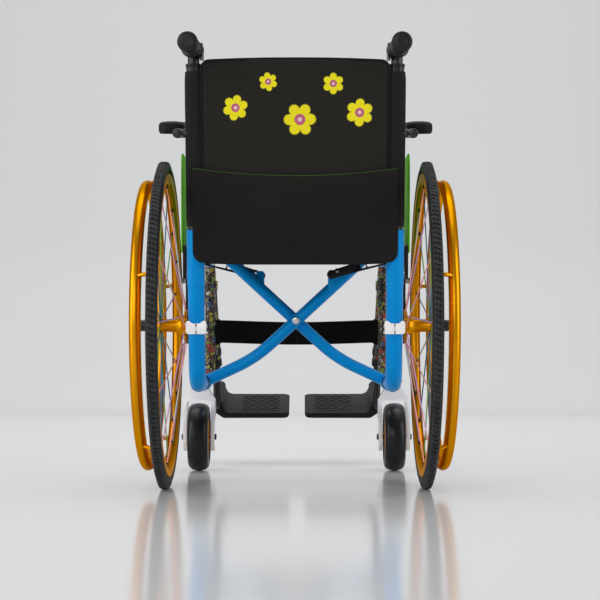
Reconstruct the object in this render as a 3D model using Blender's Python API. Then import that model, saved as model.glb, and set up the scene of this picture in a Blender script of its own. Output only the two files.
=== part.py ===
# Folding active wheelchair with a cross-brace, modelled at real size in metres, +Z up, +Y forward.
# Lengths along Y are first laid out from the rear axle (Y = 0) and the whole chair is then
# centred over its footprint by one parent empty.
import math

import bpy
import bmesh
from mathutils import Matrix, Vector

# Driving dimensions
CLEAR = 0.0003            # seat gap between touching pieces
RUN = 0.0006              # running gap round a turning piece

WHEEL_DIA = 0.590         # rear tyre, outside
TYRE_W = 0.0200
WHEEL_X = 0.2350          # tyre centre plane from the chair's centre
RIM_DEPTH = 0.019
RIM_W = 0.0185
HANDRIM_DROP = 0.067      # the handrim's diameter is this much under the tyre's
HANDRIM_TUBE = 0.020
HANDRIM_X = 0.2648
TAB_COUNT = 5
TAB_R = 0.0042
TAB_LEG = 0.0044          # straight run of a tab before its bend
HUB_R = 0.0115
FLANGE_R = 0.0310
FLANGE_T = 0.0040
LOBE_DEPTH = 0.0030       # scallop between two spoke heads
HUB_IN_X = 0.1965
HUB_OUT_X = 0.2500
SPOKES_PER_FLANGE = 12
SPOKE_R = 0.0013
SPOKE_LEAN = math.radians(38)
AXLE_R = 0.0063
AXLE_IN_X = 0.1600
AXLE_CAP_R = 0.0105
AXLE_END_X = 0.2815
BUTTON_R = 0.0050
BUTTON_OUT = 0.0040
BUTTON_TRAVEL = 0.0030

FRAME_X = 0.177           # rear upright centre from the chair's centre
UPRIGHT_R = 0.0150
RAIL_R = 0.0125
POST_R = 0.0105
POST_X = 0.1805
LOWER_RAIL_Z = 0.189
UPPER_RAIL_Z = 0.432
UPPER_RAIL_R = 0.0110
UPRIGHT_Y = -0.031        # upright centre at axle height, behind the axle
LEAN = math.radians(10.0)
SEAM_Z = 0.366
COLLAR_R = 0.0159
COLLAR_TOP_Z = 0.470
BEND_R = 0.045
POST_Y = 0.452
POST_BEND_R = 0.030
NOSE_BEND_R = 0.024
SPLAY_Y = 0.27            # the rails turn outwards from here
SPLAYED_Y = 0.37          # and run straight again from here
SADDLE_BACK_Y = 0.035
SADDLE_FRONT_Y = 0.320
SADDLE_LEN = 0.028

CANE_R = 0.0130
CANE_DEPTH = 0.070        # length of the cane inside the collar
SLEEVE_T = 0.0030
BACK_RISE = 0.013         # back's top edge over the cane's top
BACK_HALF = 0.1625        # half the back panel's width between the sleeves
BACK_CORNER_R = 0.012
BACK_CROWN = 0.004        # rise of the top edge at its middle
FLAP_HALF = 0.1800        # half the width of the pocket flap over the canes
FLAP_H = 0.164
FLAP_T = 0.0033
ARMREST_SLOT_R = 0.0085   # opening in the sleeve round the armrest's lug
BACK_LOW_Z = 0.408
HANDLE_Z = 0.768
HANDLE_RISE = 0.024       # handle pivot over the cane's top
HANDLE_BACK = 0.0245      # handle pivot behind the cane's centre
HANDLE_TELESCOPE = 0.050  # length of the post inside the cane
HANDLE_PIN_R = 0.0035
EAR_T = 0.0065
HANDLE_POST_R = 0.0102
HANDLE_TUBE_R = 0.0110
GRIP_R = 0.0172
GRIP_START = 0.034
GRIP_LEN = 0.0924
GRIP_RIBS = 4
GRIP_DROOP = math.radians(4.0)    # grip's fall towards its rear end
RIB_DEPTH = 0.0018

CLAMP_H = 0.030
CLAMP_WALL = 0.0035
CLAMP_SPLIT = 0.0012

CASTER_DIA = 0.140
CASTER_W = 0.0430
CASTER_X = 0.203
CASTER_TRAIL = 0.036
STEM_Y = 0.476
STEM_R = 0.0060
BARREL_R = 0.0185
BARREL_LEN = 0.0480
FORK_LEG_T = 0.0075
FORK_GAP = 0.0500         # between the legs
FORK_OVER_TYRE = 0.0060   # shoulder over the caster's top
FORK_CROWN = 0.0330       # crown over the shoulder
CROWN_GAP = 0.0010
FORK_LEG_W = 0.030
CASTER_HOLE_R = 0.0045
CASTER_SPOKES = 5
CASTER_TYRE_T = 0.0210
CASTER_RIM_T = 0.0070
CASTER_HUB_R = 0.0140
CAP_T = 0.0060

PIVOT_Z = 0.3063
ARM_Y = 0.150
ARM_R = 0.0110
ARM_GAP = 0.0020
SEAT_RAIL_X = 0.147
SEAT_RAIL_Z = 0.441
SEAT_RAIL_R = 0.0110
SEAT_BACK_Y = -0.030
SEAT_FRONT_Y = 0.375
SEAT_OUT = 0.010          # seat cloth past the rail's centre
SEAT_SAG = 0.010
SEAT_T = 0.0045
ARM_SLEEVE_R = 0.0158
ARM_SLEEVE_LEN = 0.060
BOLT_R = 0.0040
LUG_X = 0.0780
LUG_Z = 0.3990

LINK_W = 0.0030
LINK_T = 0.0040
LINK_RING_R = 0.0150
LINK_OPEN_LEN = 0.0560     # openwork from the ring's centre; the rest is a solid bar

ARMREST_X = 0.2068
ARMREST_OVER_TYRE = 0.041
ARMREST_TILT = math.radians(7.5)  # rise of the armrest towards its front
ARMREST_TUBE_R = 0.0085
ARMREST_PIN_R = 0.0035
ARMREST_PIN_OUT = 0.0040  # the pin's end past the armrest tube's centre
ARMREST_LUG_R = 0.0075
PAD_IN_X = 0.1985
PAD_OUT_X = 0.2460
PAD_RISE = 0.0212         # pad's top over the armrest tube's centre
PAD_T = 0.0221
PAD_CORNER_R = 0.016
PAD_BACK_Y = -0.035
PAD_LEN = 0.290

GUARD_X = 0.2020
GUARD_T = 0.0030
GUARD_LOW_Z = 0.4260
GUARD_UNDER_PAD = 0.030
GUARD_BACK_Y = -0.030
GUARD_LEN = 0.292
HOLDER_T = 0.0060
HOLDER_LEN = 0.126
HOLDER_TAIL = 0.074       # how far the holder's tail hangs under the rail
HOLDER_SEAT_Y = 0.055
HOLDER_SEAT_LEN = 0.050

HANGER_TOP_X = 0.182
HANGER_LOW_X = 0.1725
HANGER_R = 0.0110
HANGER_TOP_Y = 0.4830
HANGER_TOP_Z = 0.4200
HANGER_LOW_Y = 0.5450
HANGER_LOW_Z = 0.2170
TOP_RING_Z = 0.385
TOP_RING_H = 0.020
LOW_RING_Z = 0.247
LOW_RING_H = 0.014
POST_RING_T = 0.0045
LATCH_Z = 0.352
LATCH_LEN = 0.053
LATCH_T = 0.0045
LATCH_PIN_R = 0.0030
FOOT_TUBE_R = 0.0080
FOOT_TUBE_DEPTH = 0.060   # length of the foot tube inside the hanger
FOOT_BEND_R = 0.016
PLATE_PIN_LEN = 0.110
FOOT_HINGE_X = 0.172
FOOT_HINGE_Y = 0.590      # rear end of the plate
PLATE_LEN = 0.150
PLATE_TILT = math.radians(15.0)
PLATE_REAR_Z = 0.1110
PLATE_DROP = 0.0200
PLATE_T = 0.0105
PLATE_IN_X = 0.0165
PLATE_CORNER_R = 0.016
PLATE_RIBS = 7
PLATE_RIB_H = 0.0012
PLATE_RIB_W = 0.0022
PLATE_SLEEVE_R = 0.0105
PLATE_PIN_R = 0.0060

STRAP_Z = 0.2900
STRAP_H = 0.0480
STRAP_T = 0.0030
BRAKE_PIVOT_Z = 0.372
BRAKE_AHEAD = 0.017       # brake pivot in front of the tyre's foremost point
BRAKE_PLATE_X = 0.1920
BRAKE_PLATE_T = 0.0045
BRAKE_PIN_R = 0.0040
BRAKE_SEAT_LEN = 0.028
SHOE_R = 0.0080
SHOE_REACH_Y = -0.0100
SHOE_REACH_Z = 0.0180
LEVER_T = 0.0050
LEVER_ANGLE = math.radians(52)
LEVER_LEN = 0.125

# Derived places
AXLE_Z = WHEEL_DIA / 2
FORK_SHOULDER_Z = CASTER_DIA + FORK_OVER_TYRE
FORK_TOP_Z = FORK_SHOULDER_Z + FORK_CROWN
BARREL_LOW_Z = FORK_TOP_Z + CROWN_GAP
BARREL_TOP_Z = BARREL_LOW_Z + BARREL_LEN
HANDRIM_DIA = WHEEL_DIA - HANDRIM_DROP
CANE_TOP_Z = HANDLE_Z - HANDLE_RISE
BACK_TOP_Z = CANE_TOP_Z + BACK_RISE
ARMREST_Z = WHEEL_DIA + ARMREST_OVER_TYRE
PAD_TOP_Z = ARMREST_Z + PAD_RISE
PAD_LOW_Z = PAD_TOP_Z - PAD_T
GUARD_TOP_Z = ARMREST_Z - GUARD_UNDER_PAD
BRAKE_PIVOT_Y = WHEEL_DIA / 2 + BRAKE_AHEAD
CASTER_Z = CASTER_DIA / 2
CASTER_Y = STEM_Y - CASTER_TRAIL
PLATE_FRONT_Y = (FOOT_HINGE_Y + PLATE_LEN * math.cos(PLATE_TILT)
                 + (PLATE_DROP + PLATE_T) * math.sin(PLATE_TILT))
CENTRE_Y = (PLATE_FRONT_Y - WHEEL_DIA / 2) / 2
SIDES = (("left", -1), ("right", 1))
UP_LEAN = Vector((0, -math.sin(LEAN), math.cos(LEAN)))


def lean_y(z):
    """Y of the leaning upright's centre at height z."""
    return UPRIGHT_Y - (z - AXLE_Z) * math.tan(LEAN)


for item in list(bpy.data.objects):
    bpy.data.objects.remove(item, do_unlink=True)

chair = bpy.data.objects.new("chair", None)
bpy.context.scene.collection.objects.link(chair)
chair.location = (0, -CENTRE_Y, 0)


def make_material(name, colour, roughness, metallic=0.0):
    made = bpy.data.materials.new(name)
    made.use_nodes = True
    shader = made.node_tree.nodes["Principled BSDF"]
    shader.inputs["Base Color"].default_value = (*colour, 1)
    shader.inputs["Roughness"].default_value = roughness
    shader.inputs["Metallic"].default_value = metallic
    return made


BLUE = make_material("blue_lacquer", (0.02, 0.22, 0.55), 0.30)
GOLD = make_material("gold_anodised", (0.75, 0.40, 0.03), 0.25, 1.0)
WHITE = make_material("white_lacquer", (0.85, 0.85, 0.85), 0.35)
BLACK = make_material("black_plastic", (0.02, 0.02, 0.02), 0.45)
RUBBER = make_material("tyre_rubber", (0.03, 0.03, 0.03), 0.75)
FABRIC = make_material("black_fabric", (0.015, 0.015, 0.015), 0.90)
GREEN = make_material("green_plastic", (0.15, 0.55, 0.02), 0.40)
STEEL = make_material("bright_steel", (0.70, 0.70, 0.72), 0.20, 1.0)


def new_object(name, bm, material, pivot=(0, 0, 0), sharp=35):
    """A named solid whose origin lies at pivot, under the chair's empty."""
    bmesh.ops.recalc_face_normals(bm, faces=bm.faces)
    bmesh.ops.translate(bm, vec=-Vector(pivot), verts=bm.verts)
    mesh = bpy.data.meshes.new(name)
    bm.to_mesh(mesh)
    bm.free()
    mesh.materials.append(material)
    mesh.shade_smooth()
    mesh.set_sharp_from_angle(angle=math.radians(sharp))
    made = bpy.data.objects.new(name, mesh)
    bpy.context.scene.collection.objects.link(made)
    made.parent = chair
    made.location = pivot
    return made


def boolean(target, tool, operation):
    """Joins or cuts target with tool, which stays as a hidden helper."""
    tool.hide_render = True
    tool.display_type = "WIRE"
    step = target.modifiers.new(operation.lower(), "BOOLEAN")
    step.operation = operation
    step.object = tool
    step.solver = "EXACT"


def join(target, *tools):
    for tool in tools:
        boolean(target, tool, "UNION")


def cut(target, *tools):
    for tool in tools:
        boolean(target, tool, "DIFFERENCE")


def bridge(bm, first, second):
    count = len(first)
    for i in range(count):
        bm.faces.new((first[i], first[(i + 1) % count], second[(i + 1) % count], second[i]))


def rounded(points, radius, steps=4):
    """The polyline with each inner corner turned into an arc."""
    points = [Vector(p) for p in points]
    path = [points[0]]
    for before, corner, after in zip(points, points[1:], points[2:]):
        back = (before - corner).normalized()
        on = (after - corner).normalized()
        half = math.acos(max(-1, min(1, back.dot(on)))) / 2
        reach = radius / math.tan(half)
        centre = corner + (back + on).normalized() * (radius / math.sin(half))
        start = corner + back * reach - centre
        end = corner + on * reach - centre
        turn = start.angle(end)
        for k in range(steps + 1):
            share = k / steps
            a = math.sin((1 - share) * turn) / math.sin(turn)
            b = math.sin(share * turn) / math.sin(turn)
            path.append(centre + start * a + end * b)
    path.append(points[-1])
    return path


def sweep(bm, points, radius, sides=12, flat=1.0, up=(0, 0, 1)):
    """A closed rod along points. radius is a number or one per point."""
    points = [Vector(p) for p in points]
    radii = radius if isinstance(radius, (list, tuple)) else [radius] * len(points)
    tangent = (points[1] - points[0]).normalized()
    side = tangent.cross(Vector(up))
    if side.length < 0.1:
        side = tangent.cross(Vector((0, 1, 0)))
    side.normalize()
    rings = []
    for i, point in enumerate(points):
        before = points[max(i - 1, 0)]
        after = points[min(i + 1, len(points) - 1)]
        tangent = (after - before).normalized()
        side = (side - tangent * side.dot(tangent)).normalized()
        third = tangent.cross(side)
        ring = []
        for k in range(sides):
            angle = 2 * math.pi * (k + 0.5) / sides
            away = side * math.cos(angle) + third * (math.sin(angle) * flat)
            ring.append(bm.verts.new(point + away * radii[i]))
        rings.append(ring)
    for first, second in zip(rings, rings[1:]):
        bridge(bm, first, second)
    bm.faces.new(rings[0])
    bm.faces.new(rings[-1])


def rod(points, radius, sides=12, **more):
    bm = bmesh.new()
    sweep(bm, points, radius, sides, **more)
    return bm


AXES = {"X": (Vector((0, 1, 0)), Vector((0, 0, 1)), Vector((1, 0, 0))),
        "Y": (Vector((0, 0, 1)), Vector((1, 0, 0)), Vector((0, 1, 0))),
        "Z": (Vector((1, 0, 0)), Vector((0, 1, 0)), Vector((0, 0, 1)))}


def lathe(profile, centre, axis="X", segments=40, closed=True, phase=0.0):
    """A profile of (radius, place along the axis) turned about an axis through centre.
    An open profile is closed by flat ends."""
    first, second, along = AXES[axis]
    bm = bmesh.new()
    rings = []
    for radius, place in profile:
        ring = []
        for k in range(segments):
            angle = 2 * math.pi * (k + phase) / segments
            spot = (first * math.cos(angle) + second * math.sin(angle)) * radius
            ring.append(bm.verts.new(Vector(centre) + spot + along * place))
        rings.append(ring)
    for one, other in zip(rings, rings[1:]):
        bridge(bm, one, other)
    if closed:
        bridge(bm, rings[-1], rings[0])
    else:
        bm.faces.new(rings[0])
        bm.faces.new(rings[-1])
    return bm


def prism(outline, axis, low, high):
    """A flat outline of 2-D points pushed out along an axis. For X the points are (y, z),
    for Y they are (z, x) and for Z they are (x, y)."""
    first, second, along = AXES[axis]
    bm = bmesh.new()
    rings = []
    for place in (low, high):
        rings.append([bm.verts.new(first * a + second * b + along * place) for a, b in outline])
    bridge(bm, *rings)
    bm.faces.new(rings[0])
    bm.faces.new(rings[1])
    return bm


def block(low, high):
    outline = [(low[0], low[1]), (high[0], low[1]), (high[0], high[1]), (low[0], high[1])]
    return prism(outline, "Z", low[2], high[2])


def round_corners(outline, radius, steps=3):
    """A closed 2-D outline with every corner rounded."""
    count = len(outline)
    path = []
    for i in range(count):
        before = Vector((*outline[i - 1], 0))
        corner = Vector((*outline[i], 0))
        after = Vector((*outline[(i + 1) % count], 0))
        reach = radius if not isinstance(radius, (list, tuple)) else radius[i]
        if reach <= 0:
            path.append((corner.x, corner.y))
            continue
        arc = rounded([before, corner, after], reach, steps)[1:-1]
        path.extend((p.x, p.y) for p in arc)
    return path


def bevel_all(bm, width, angle=40, segments=1):
    sharp = [e for e in bm.edges if len(e.link_faces) == 2
             and e.calc_face_angle(0) > math.radians(angle)]
    bmesh.ops.bevel(bm, geom=sharp, offset=width, segments=segments, affect="EDGES")


def helper(name, bm):
    """A mesh that only joins or cuts another one."""
    made = new_object(name, bm, BLACK)
    made.hide_render = True
    made.display_type = "WIRE"
    return made


def turn_on_x(angle, pivot, *solids):
    """Turns solids and the forms that cut them on a line along X through pivot."""
    for one in solids:
        there = Matrix.Translation(Vector(pivot) - one.location)
        one.data.transform(there @ Matrix.Rotation(angle, 4, "X") @ there.inverted())


def spanned(side, inner, outer):
    """Low and high X of a span given from the chair's centre outwards."""
    return tuple(sorted((side * inner, side * outer)))


# Rear wheel
def rear_wheel(name, side):
    centre = (side * WHEEL_X, 0, AXLE_Z)
    axle = centre
    tyre_in = WHEEL_DIA / 2 - TYRE_W * 1.08
    half = TYRE_W / 2
    tyre = [(tyre_in, -half * 0.62)]
    for k in range(5):
        angle = math.pi * k / 4
        tyre.append((tyre_in + (WHEEL_DIA / 2 - tyre_in) * (0.42 + 0.58 * math.sin(angle)),
                     -half * math.cos(angle)))
    tyre.append((tyre_in, half * 0.62))
    new_object(name + "_rear_tyre", lathe(tyre, centre, segments=36), RUBBER, axle)

    rim_out = tyre_in - CLEAR
    rim_in = rim_out - RIM_DEPTH
    w = RIM_W / 2
    rim = [(rim_in, -w * 0.62), (rim_in + 0.003, -w), (rim_out, -w), (rim_out, w),
           (rim_in + 0.003, w), (rim_in, w * 0.62)]
    new_object(name + "_rear_rim", lathe(rim, centre, segments=36), GOLD, axle)

    hand_r = (HANDRIM_DIA - HANDRIM_TUBE) / 2
    section = []
    for k in range(8):
        angle = 2 * math.pi * (k + 0.5) / 8
        section.append((hand_r + math.cos(angle) * HANDRIM_TUBE / 2,
                        math.sin(angle) * HANDRIM_TUBE / 2))
    hand_centre = (side * HANDRIM_X, 0, AXLE_Z)
    handrim = new_object(name + "_handrim", lathe(section, hand_centre, segments=36), GOLD, axle)
    tabs = bmesh.new()
    for k in range(TAB_COUNT):
        angle = 2 * math.pi * (k + 0.25) / TAB_COUNT
        out = Vector((0, math.cos(angle), math.sin(angle)))
        start = Vector((side * (WHEEL_X + w + CLEAR), 0, AXLE_Z)) + out * (rim_in + RIM_DEPTH / 2)
        end = Vector((side * HANDRIM_X, 0, AXLE_Z)) + out * hand_r
        sweep(tabs, [start, start + Vector((side * TAB_LEG, 0, 0)), end], TAB_R, 6, up=out)
    join(handrim, helper(name + "_handrim_tabs", tabs))

    bore = AXLE_R + RUN
    near, far = HUB_IN_X - WHEEL_X, HUB_OUT_X - WHEEL_X
    hub = [(bore, near), (HUB_R + 0.0090, near), (HUB_R + 0.0100, near + FLANGE_T),
           (HUB_R + 0.006, near + FLANGE_T + 0.008), (HUB_R, near + FLANGE_T + 0.013),
           (HUB_R, far - 0.009), (HUB_R + 0.0045, far - 0.008), (HUB_R + 0.0045, far - 0.003),
           (HUB_R, far - 0.002), (HUB_R - 0.002, far), (bore, far)]
    hub = [(r, side * x) for r, x in hub]
    made = new_object(name + "_rear_hub", lathe(hub, centre, segments=12), GOLD, axle)
    bore_x, lobe_x = spanned(side, HUB_IN_X, HUB_IN_X + FLANGE_T)
    lobes = []
    for k in range(SPOKES_PER_FLANGE * 4):
        turn = 2 * math.pi * k / (SPOKES_PER_FLANGE * 4)
        r = FLANGE_R - LOBE_DEPTH * (0, 0.25, 1, 0.25)[k % 4]
        lobes.append((math.cos(turn) * r, AXLE_Z + math.sin(turn) * r))
    flange = helper(name + "_hub_flange", prism(lobes, "X", bore_x, lobe_x))
    cut(flange, helper(name + "_flange_bore", rod([(bore_x - 0.01, 0, AXLE_Z),
                                                   (lobe_x + 0.01, 0, AXLE_Z)], HUB_R + 0.008, 12)))
    join(made, flange)
    spokes = bmesh.new()
    flanges = ((near + FLANGE_T / 2, FLANGE_R - 0.003, FLANGE_T * 0.25, 0),
               (far - 0.0055, HUB_R + 0.002, 0.0012, 0.5))
    for place, start_r, offset, phase in flanges:
        for k in range(SPOKES_PER_FLANGE):
            way = 1 if k % 2 else -1
            at_rim = 2 * math.pi * (k + phase) / SPOKES_PER_FLANGE
            at_hub = at_rim + way * SPOKE_LEAN
            hub_end = Vector((side * (WHEEL_X + place + way * offset),
                              math.cos(at_hub) * start_r, AXLE_Z + math.sin(at_hub) * start_r))
            reach = rim_in - CLEAR - SPOKE_R
            rim_end = Vector((side * (WHEEL_X + math.copysign(0.002, place)),
                              math.cos(at_rim) * reach, AXLE_Z + math.sin(at_rim) * reach))
            sweep(spokes, [hub_end, rim_end], SPOKE_R, 4, up=(1, 0, 0))
    join(made, helper(name + "_spokes", spokes))


def wheel_axle(name, side):
    """Quick-release axle, from the clamp's sleeve out to its round cap, with its push button."""
    pivot = (side * WHEEL_X, 0, AXLE_Z)
    inner = AXLE_IN_X - WHEEL_X
    out = HUB_OUT_X - WHEEL_X + CLEAR
    end = AXLE_END_X - WHEEL_X
    shaft = [(BUTTON_R + CLEAR * 2, end), (AXLE_CAP_R - 0.001, end), (AXLE_CAP_R, end - 0.001),
             (AXLE_CAP_R, end - 0.011), (AXLE_R + 0.002, end - 0.013), (AXLE_R + 0.002, out),
             (AXLE_R, out), (AXLE_R, inner + 0.002), (AXLE_R - 0.0015, inner),
             (0.0012, inner), (0.0012, end - BUTTON_TRAVEL - 0.004),
             (BUTTON_R + CLEAR * 2, end - BUTTON_TRAVEL - 0.004)]
    new_object(name + "_wheel_axle", lathe([(r, side * x) for r, x in shaft], pivot, segments=12),
               BLACK, pivot)
    button = [(BUTTON_R, end - 0.0020), (BUTTON_R, end + BUTTON_OUT - 0.0008),
              (BUTTON_R - 0.0012, end + BUTTON_OUT)]
    new_object(name + "_axle_button", lathe([(r, side * x) for r, x in button], pivot,
               segments=12, closed=False), STEEL, (side * AXLE_END_X, 0, AXLE_Z))


# Axle clamp
def axle_clamp(name, side):
    cx = side * FRAME_X
    half = UPRIGHT_R + CLAMP_WALL
    low, high, waist = -CLAMP_H * 0.53, CLAMP_H * 0.40, CLAMP_H * 0.10
    outline = [(low, half), (low, -half), (high, -half), (waist, -half * 0.35),
               (waist, half * 0.35), (high, half)]
    outline = [(AXLE_Z + z, cx + x) for z, x in outline]
    back = UPRIGHT_Y - UPRIGHT_R - CLAMP_WALL
    bm = prism(outline, "Y", back, AXLE_R + 0.007)
    bevel_all(bm, 0.0022)
    clamp = new_object(name + "_axle_clamp", bm, WHITE, (cx, UPRIGHT_Y, AXLE_Z))
    tube_cut = [Vector((cx, UPRIGHT_Y, AXLE_Z)) + UP_LEAN * t for t in (-0.06, 0.06)]
    axle_cut = [(side * 0.10, 0, AXLE_Z), (side * 0.25, 0, AXLE_Z)]
    split = (cx - CLAMP_SPLIT / 2, back - 0.01, AXLE_Z - 0.05)
    cut(clamp, helper(name + "_clamp_bore", rod(tube_cut, UPRIGHT_R + CLEAR, 20)),
        helper(name + "_clamp_axle_bore", rod(axle_cut, AXLE_R + RUN / 2, 16)),
        helper(name + "_clamp_split", block(split, (cx + CLAMP_SPLIT / 2, UPRIGHT_Y,
                                                    AXLE_Z + 0.05))))


# Side frame, cane, push handle
def side_frame(name, side):
    x, front_x = side * FRAME_X, side * POST_X
    top = Vector((x, lean_y(COLLAR_TOP_Z), COLLAR_TOP_Z))
    seam = Vector((x, lean_y(SEAM_Z), SEAM_Z))
    collar_front = lean_y(UPPER_RAIL_Z) + COLLAR_R + 0.002
    lower = rounded([seam, (x, lean_y(LOWER_RAIL_Z), LOWER_RAIL_Z), (x, 0.070, LOWER_RAIL_Z)],
                    BEND_R, 4)
    lower.append(Vector((x, 0.095, LOWER_RAIL_Z)))
    lower.append(Vector((x, SPLAY_Y, LOWER_RAIL_Z)))
    front = rounded([(front_x, SPLAYED_Y, LOWER_RAIL_Z), (front_x, POST_Y, LOWER_RAIL_Z),
                     (front_x, POST_Y, (LOWER_RAIL_Z + UPPER_RAIL_Z) / 2)], POST_BEND_R, 3)
    over = rounded([(front_x, POST_Y, (LOWER_RAIL_Z + UPPER_RAIL_Z) / 2 + 0.01),
                    (front_x, POST_Y, UPPER_RAIL_Z), (front_x, SPLAYED_Y, UPPER_RAIL_Z)], NOSE_BEND_R, 3)
    path = [top, seam + UP_LEAN * 0.0006] + lower + front + over
    path += [Vector((x, SPLAY_Y, UPPER_RAIL_Z)), Vector((x, collar_front, UPPER_RAIL_Z))]
    radii = [COLLAR_R, COLLAR_R] + [UPRIGHT_R] * (len(lower) - 2) + [RAIL_R] * 2
    radii += [RAIL_R] * 3 + [POST_R] * (len(front) - 3) + [POST_R] * (len(over) - 2)
    radii += [UPPER_RAIL_R] * 4
    bm = rod(path, radii, 10)
    frame = new_object(name + "_side_frame", bm, BLUE, (0, 0, 0))

    stub = [(x, lean_y(UPPER_RAIL_Z), UPPER_RAIL_Z), (x, collar_front + 0.014, UPPER_RAIL_Z)]
    barrel = [(side * CASTER_X, STEM_Y, BARREL_LOW_Z), (side * CASTER_X, STEM_Y, BARREL_TOP_Z)]
    post = Vector((front_x, POST_Y, 0))
    stem = Vector((side * CASTER_X, STEM_Y, 0))
    across = (stem - post).cross(Vector((0, 0, 1))).normalized() * 0.0085
    web = [post - across, stem - across, stem + across, post + across]
    join(frame, helper(name + "_rail_ferrule", rod(stub, UPPER_RAIL_R + 0.0012, 12)),
         helper(name + "_barrel", rod(barrel, BARREL_R, 20)),
         helper(name + "_barrel_web", prism([(p.x, p.y) for p in web], "Z",
                                            LOWER_RAIL_Z - 0.004, BARREL_TOP_Z - 0.006)))
    for k, y in enumerate((SADDLE_BACK_Y, SADDLE_FRONT_Y)):
        low_x, high_x = spanned(side, SEAT_RAIL_X - 0.009, FRAME_X - 0.004)
        saddle = block((low_x, y - SADDLE_LEN / 2, UPPER_RAIL_Z - 0.008),
                       (high_x, y + SADDLE_LEN / 2, SEAT_RAIL_Z - 0.003))
        join(frame, helper(f"{name}_saddle_{k}", saddle))
    seat = [(side * SEAT_RAIL_X, SEAT_BACK_Y, SEAT_RAIL_Z),
            (side * SEAT_RAIL_X, SEAT_FRONT_Y, SEAT_RAIL_Z)]
    stem_cut = [(side * CASTER_X, STEM_Y, BARREL_LOW_Z - 0.02),
                (side * CASTER_X, STEM_Y, BARREL_TOP_Z + 0.02)]
    cane_cut = [top - UP_LEAN * CANE_DEPTH, top + UP_LEAN * BARREL_R]
    cut(frame, helper(name + "_seat_rail_seat", rod(seat, SEAT_RAIL_R + CLEAR, 12)),
        helper(name + "_stem_bore", rod(stem_cut, STEM_R + RUN / 2, 16)),
        helper(name + "_cane_bore", rod(cane_cut, CANE_R + CLEAR, 16)))


def back_cane(name, side):
    x = side * FRAME_X
    low = Vector((x, lean_y(COLLAR_TOP_Z), COLLAR_TOP_Z)) - UP_LEAN * (CANE_DEPTH - CLEAR)
    top = Vector((x, lean_y(CANE_TOP_Z), CANE_TOP_Z))
    cane = new_object(name + "_back_cane", rod([low, top], CANE_R, 16), BLACK, low)
    pivot_y = lean_y(ARMREST_Z)
    lug = [(x, pivot_y, ARMREST_Z),
           (side * (ARMREST_X - ARMREST_TUBE_R - CLEAR), pivot_y, ARMREST_Z)]
    pin = [(x, pivot_y, ARMREST_Z), (side * (ARMREST_X + ARMREST_PIN_OUT), pivot_y, ARMREST_Z)]
    join(cane, helper(name + "_armrest_lug", rod(lug, ARMREST_LUG_R, 12)),
         helper(name + "_armrest_pin", rod(pin, ARMREST_PIN_R, 8)))
    cut(cane, helper(name + "_post_bore", rod([top - UP_LEAN * HANDLE_TELESCOPE,
                                               top + UP_LEAN * CANE_R],
                                              HANDLE_POST_R + CLEAR, 16)))


def push_handle(name, side):
    x = side * FRAME_X
    top = Vector((x, lean_y(CANE_TOP_Z), CANE_TOP_Z))
    head = Vector((x, lean_y(HANDLE_Z), HANDLE_Z))
    end = head + UP_LEAN * (HANDLE_POST_R + 0.0018)
    post = new_object(name + "_push_handle",
                      rod([top - UP_LEAN * (HANDLE_TELESCOPE - CLEAR),
                           end - UP_LEAN * (HANDLE_POST_R * 0.3), end],
                          [HANDLE_POST_R, HANDLE_POST_R, HANDLE_POST_R * 0.7], 16), BLACK, top)
    pivot = head - Vector((0, HANDLE_BACK, 0))
    face = FRAME_X - HANDLE_TUBE_R - CLEAR
    y0, y1 = pivot.y - HANDLE_TUBE_R, head.y + HANDLE_POST_R
    low, high = head.z - HANDLE_TUBE_R, head.z + HANDLE_TUBE_R
    ear = [(y0, low + 0.002), (y1, low - 0.003), (y1, high - 0.001), (y0, high + 0.001)]
    ear = prism(round_corners(ear, HANDLE_TUBE_R * 0.55, 2), "X", *spanned(side, face - EAR_T, face))
    web_x = spanned(side, face - EAR_T / 2, FRAME_X)
    web = block((web_x[0], head.y - HANDLE_POST_R * 0.4, head.z - HANDLE_POST_R),
                (web_x[1], head.y + HANDLE_POST_R * 0.6, head.z + HANDLE_POST_R * 0.6))
    pin = [(side * (face - EAR_T / 2), pivot.y, pivot.z),
           (side * (FRAME_X + HANDLE_TUBE_R * 0.8), pivot.y, pivot.z)]
    join(post, helper(name + "_handle_ear", ear), helper(name + "_handle_web", web),
         helper(name + "_handle_pin", rod(pin, HANDLE_PIN_R, 8)))
    handle_grip(name, pivot)


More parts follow.
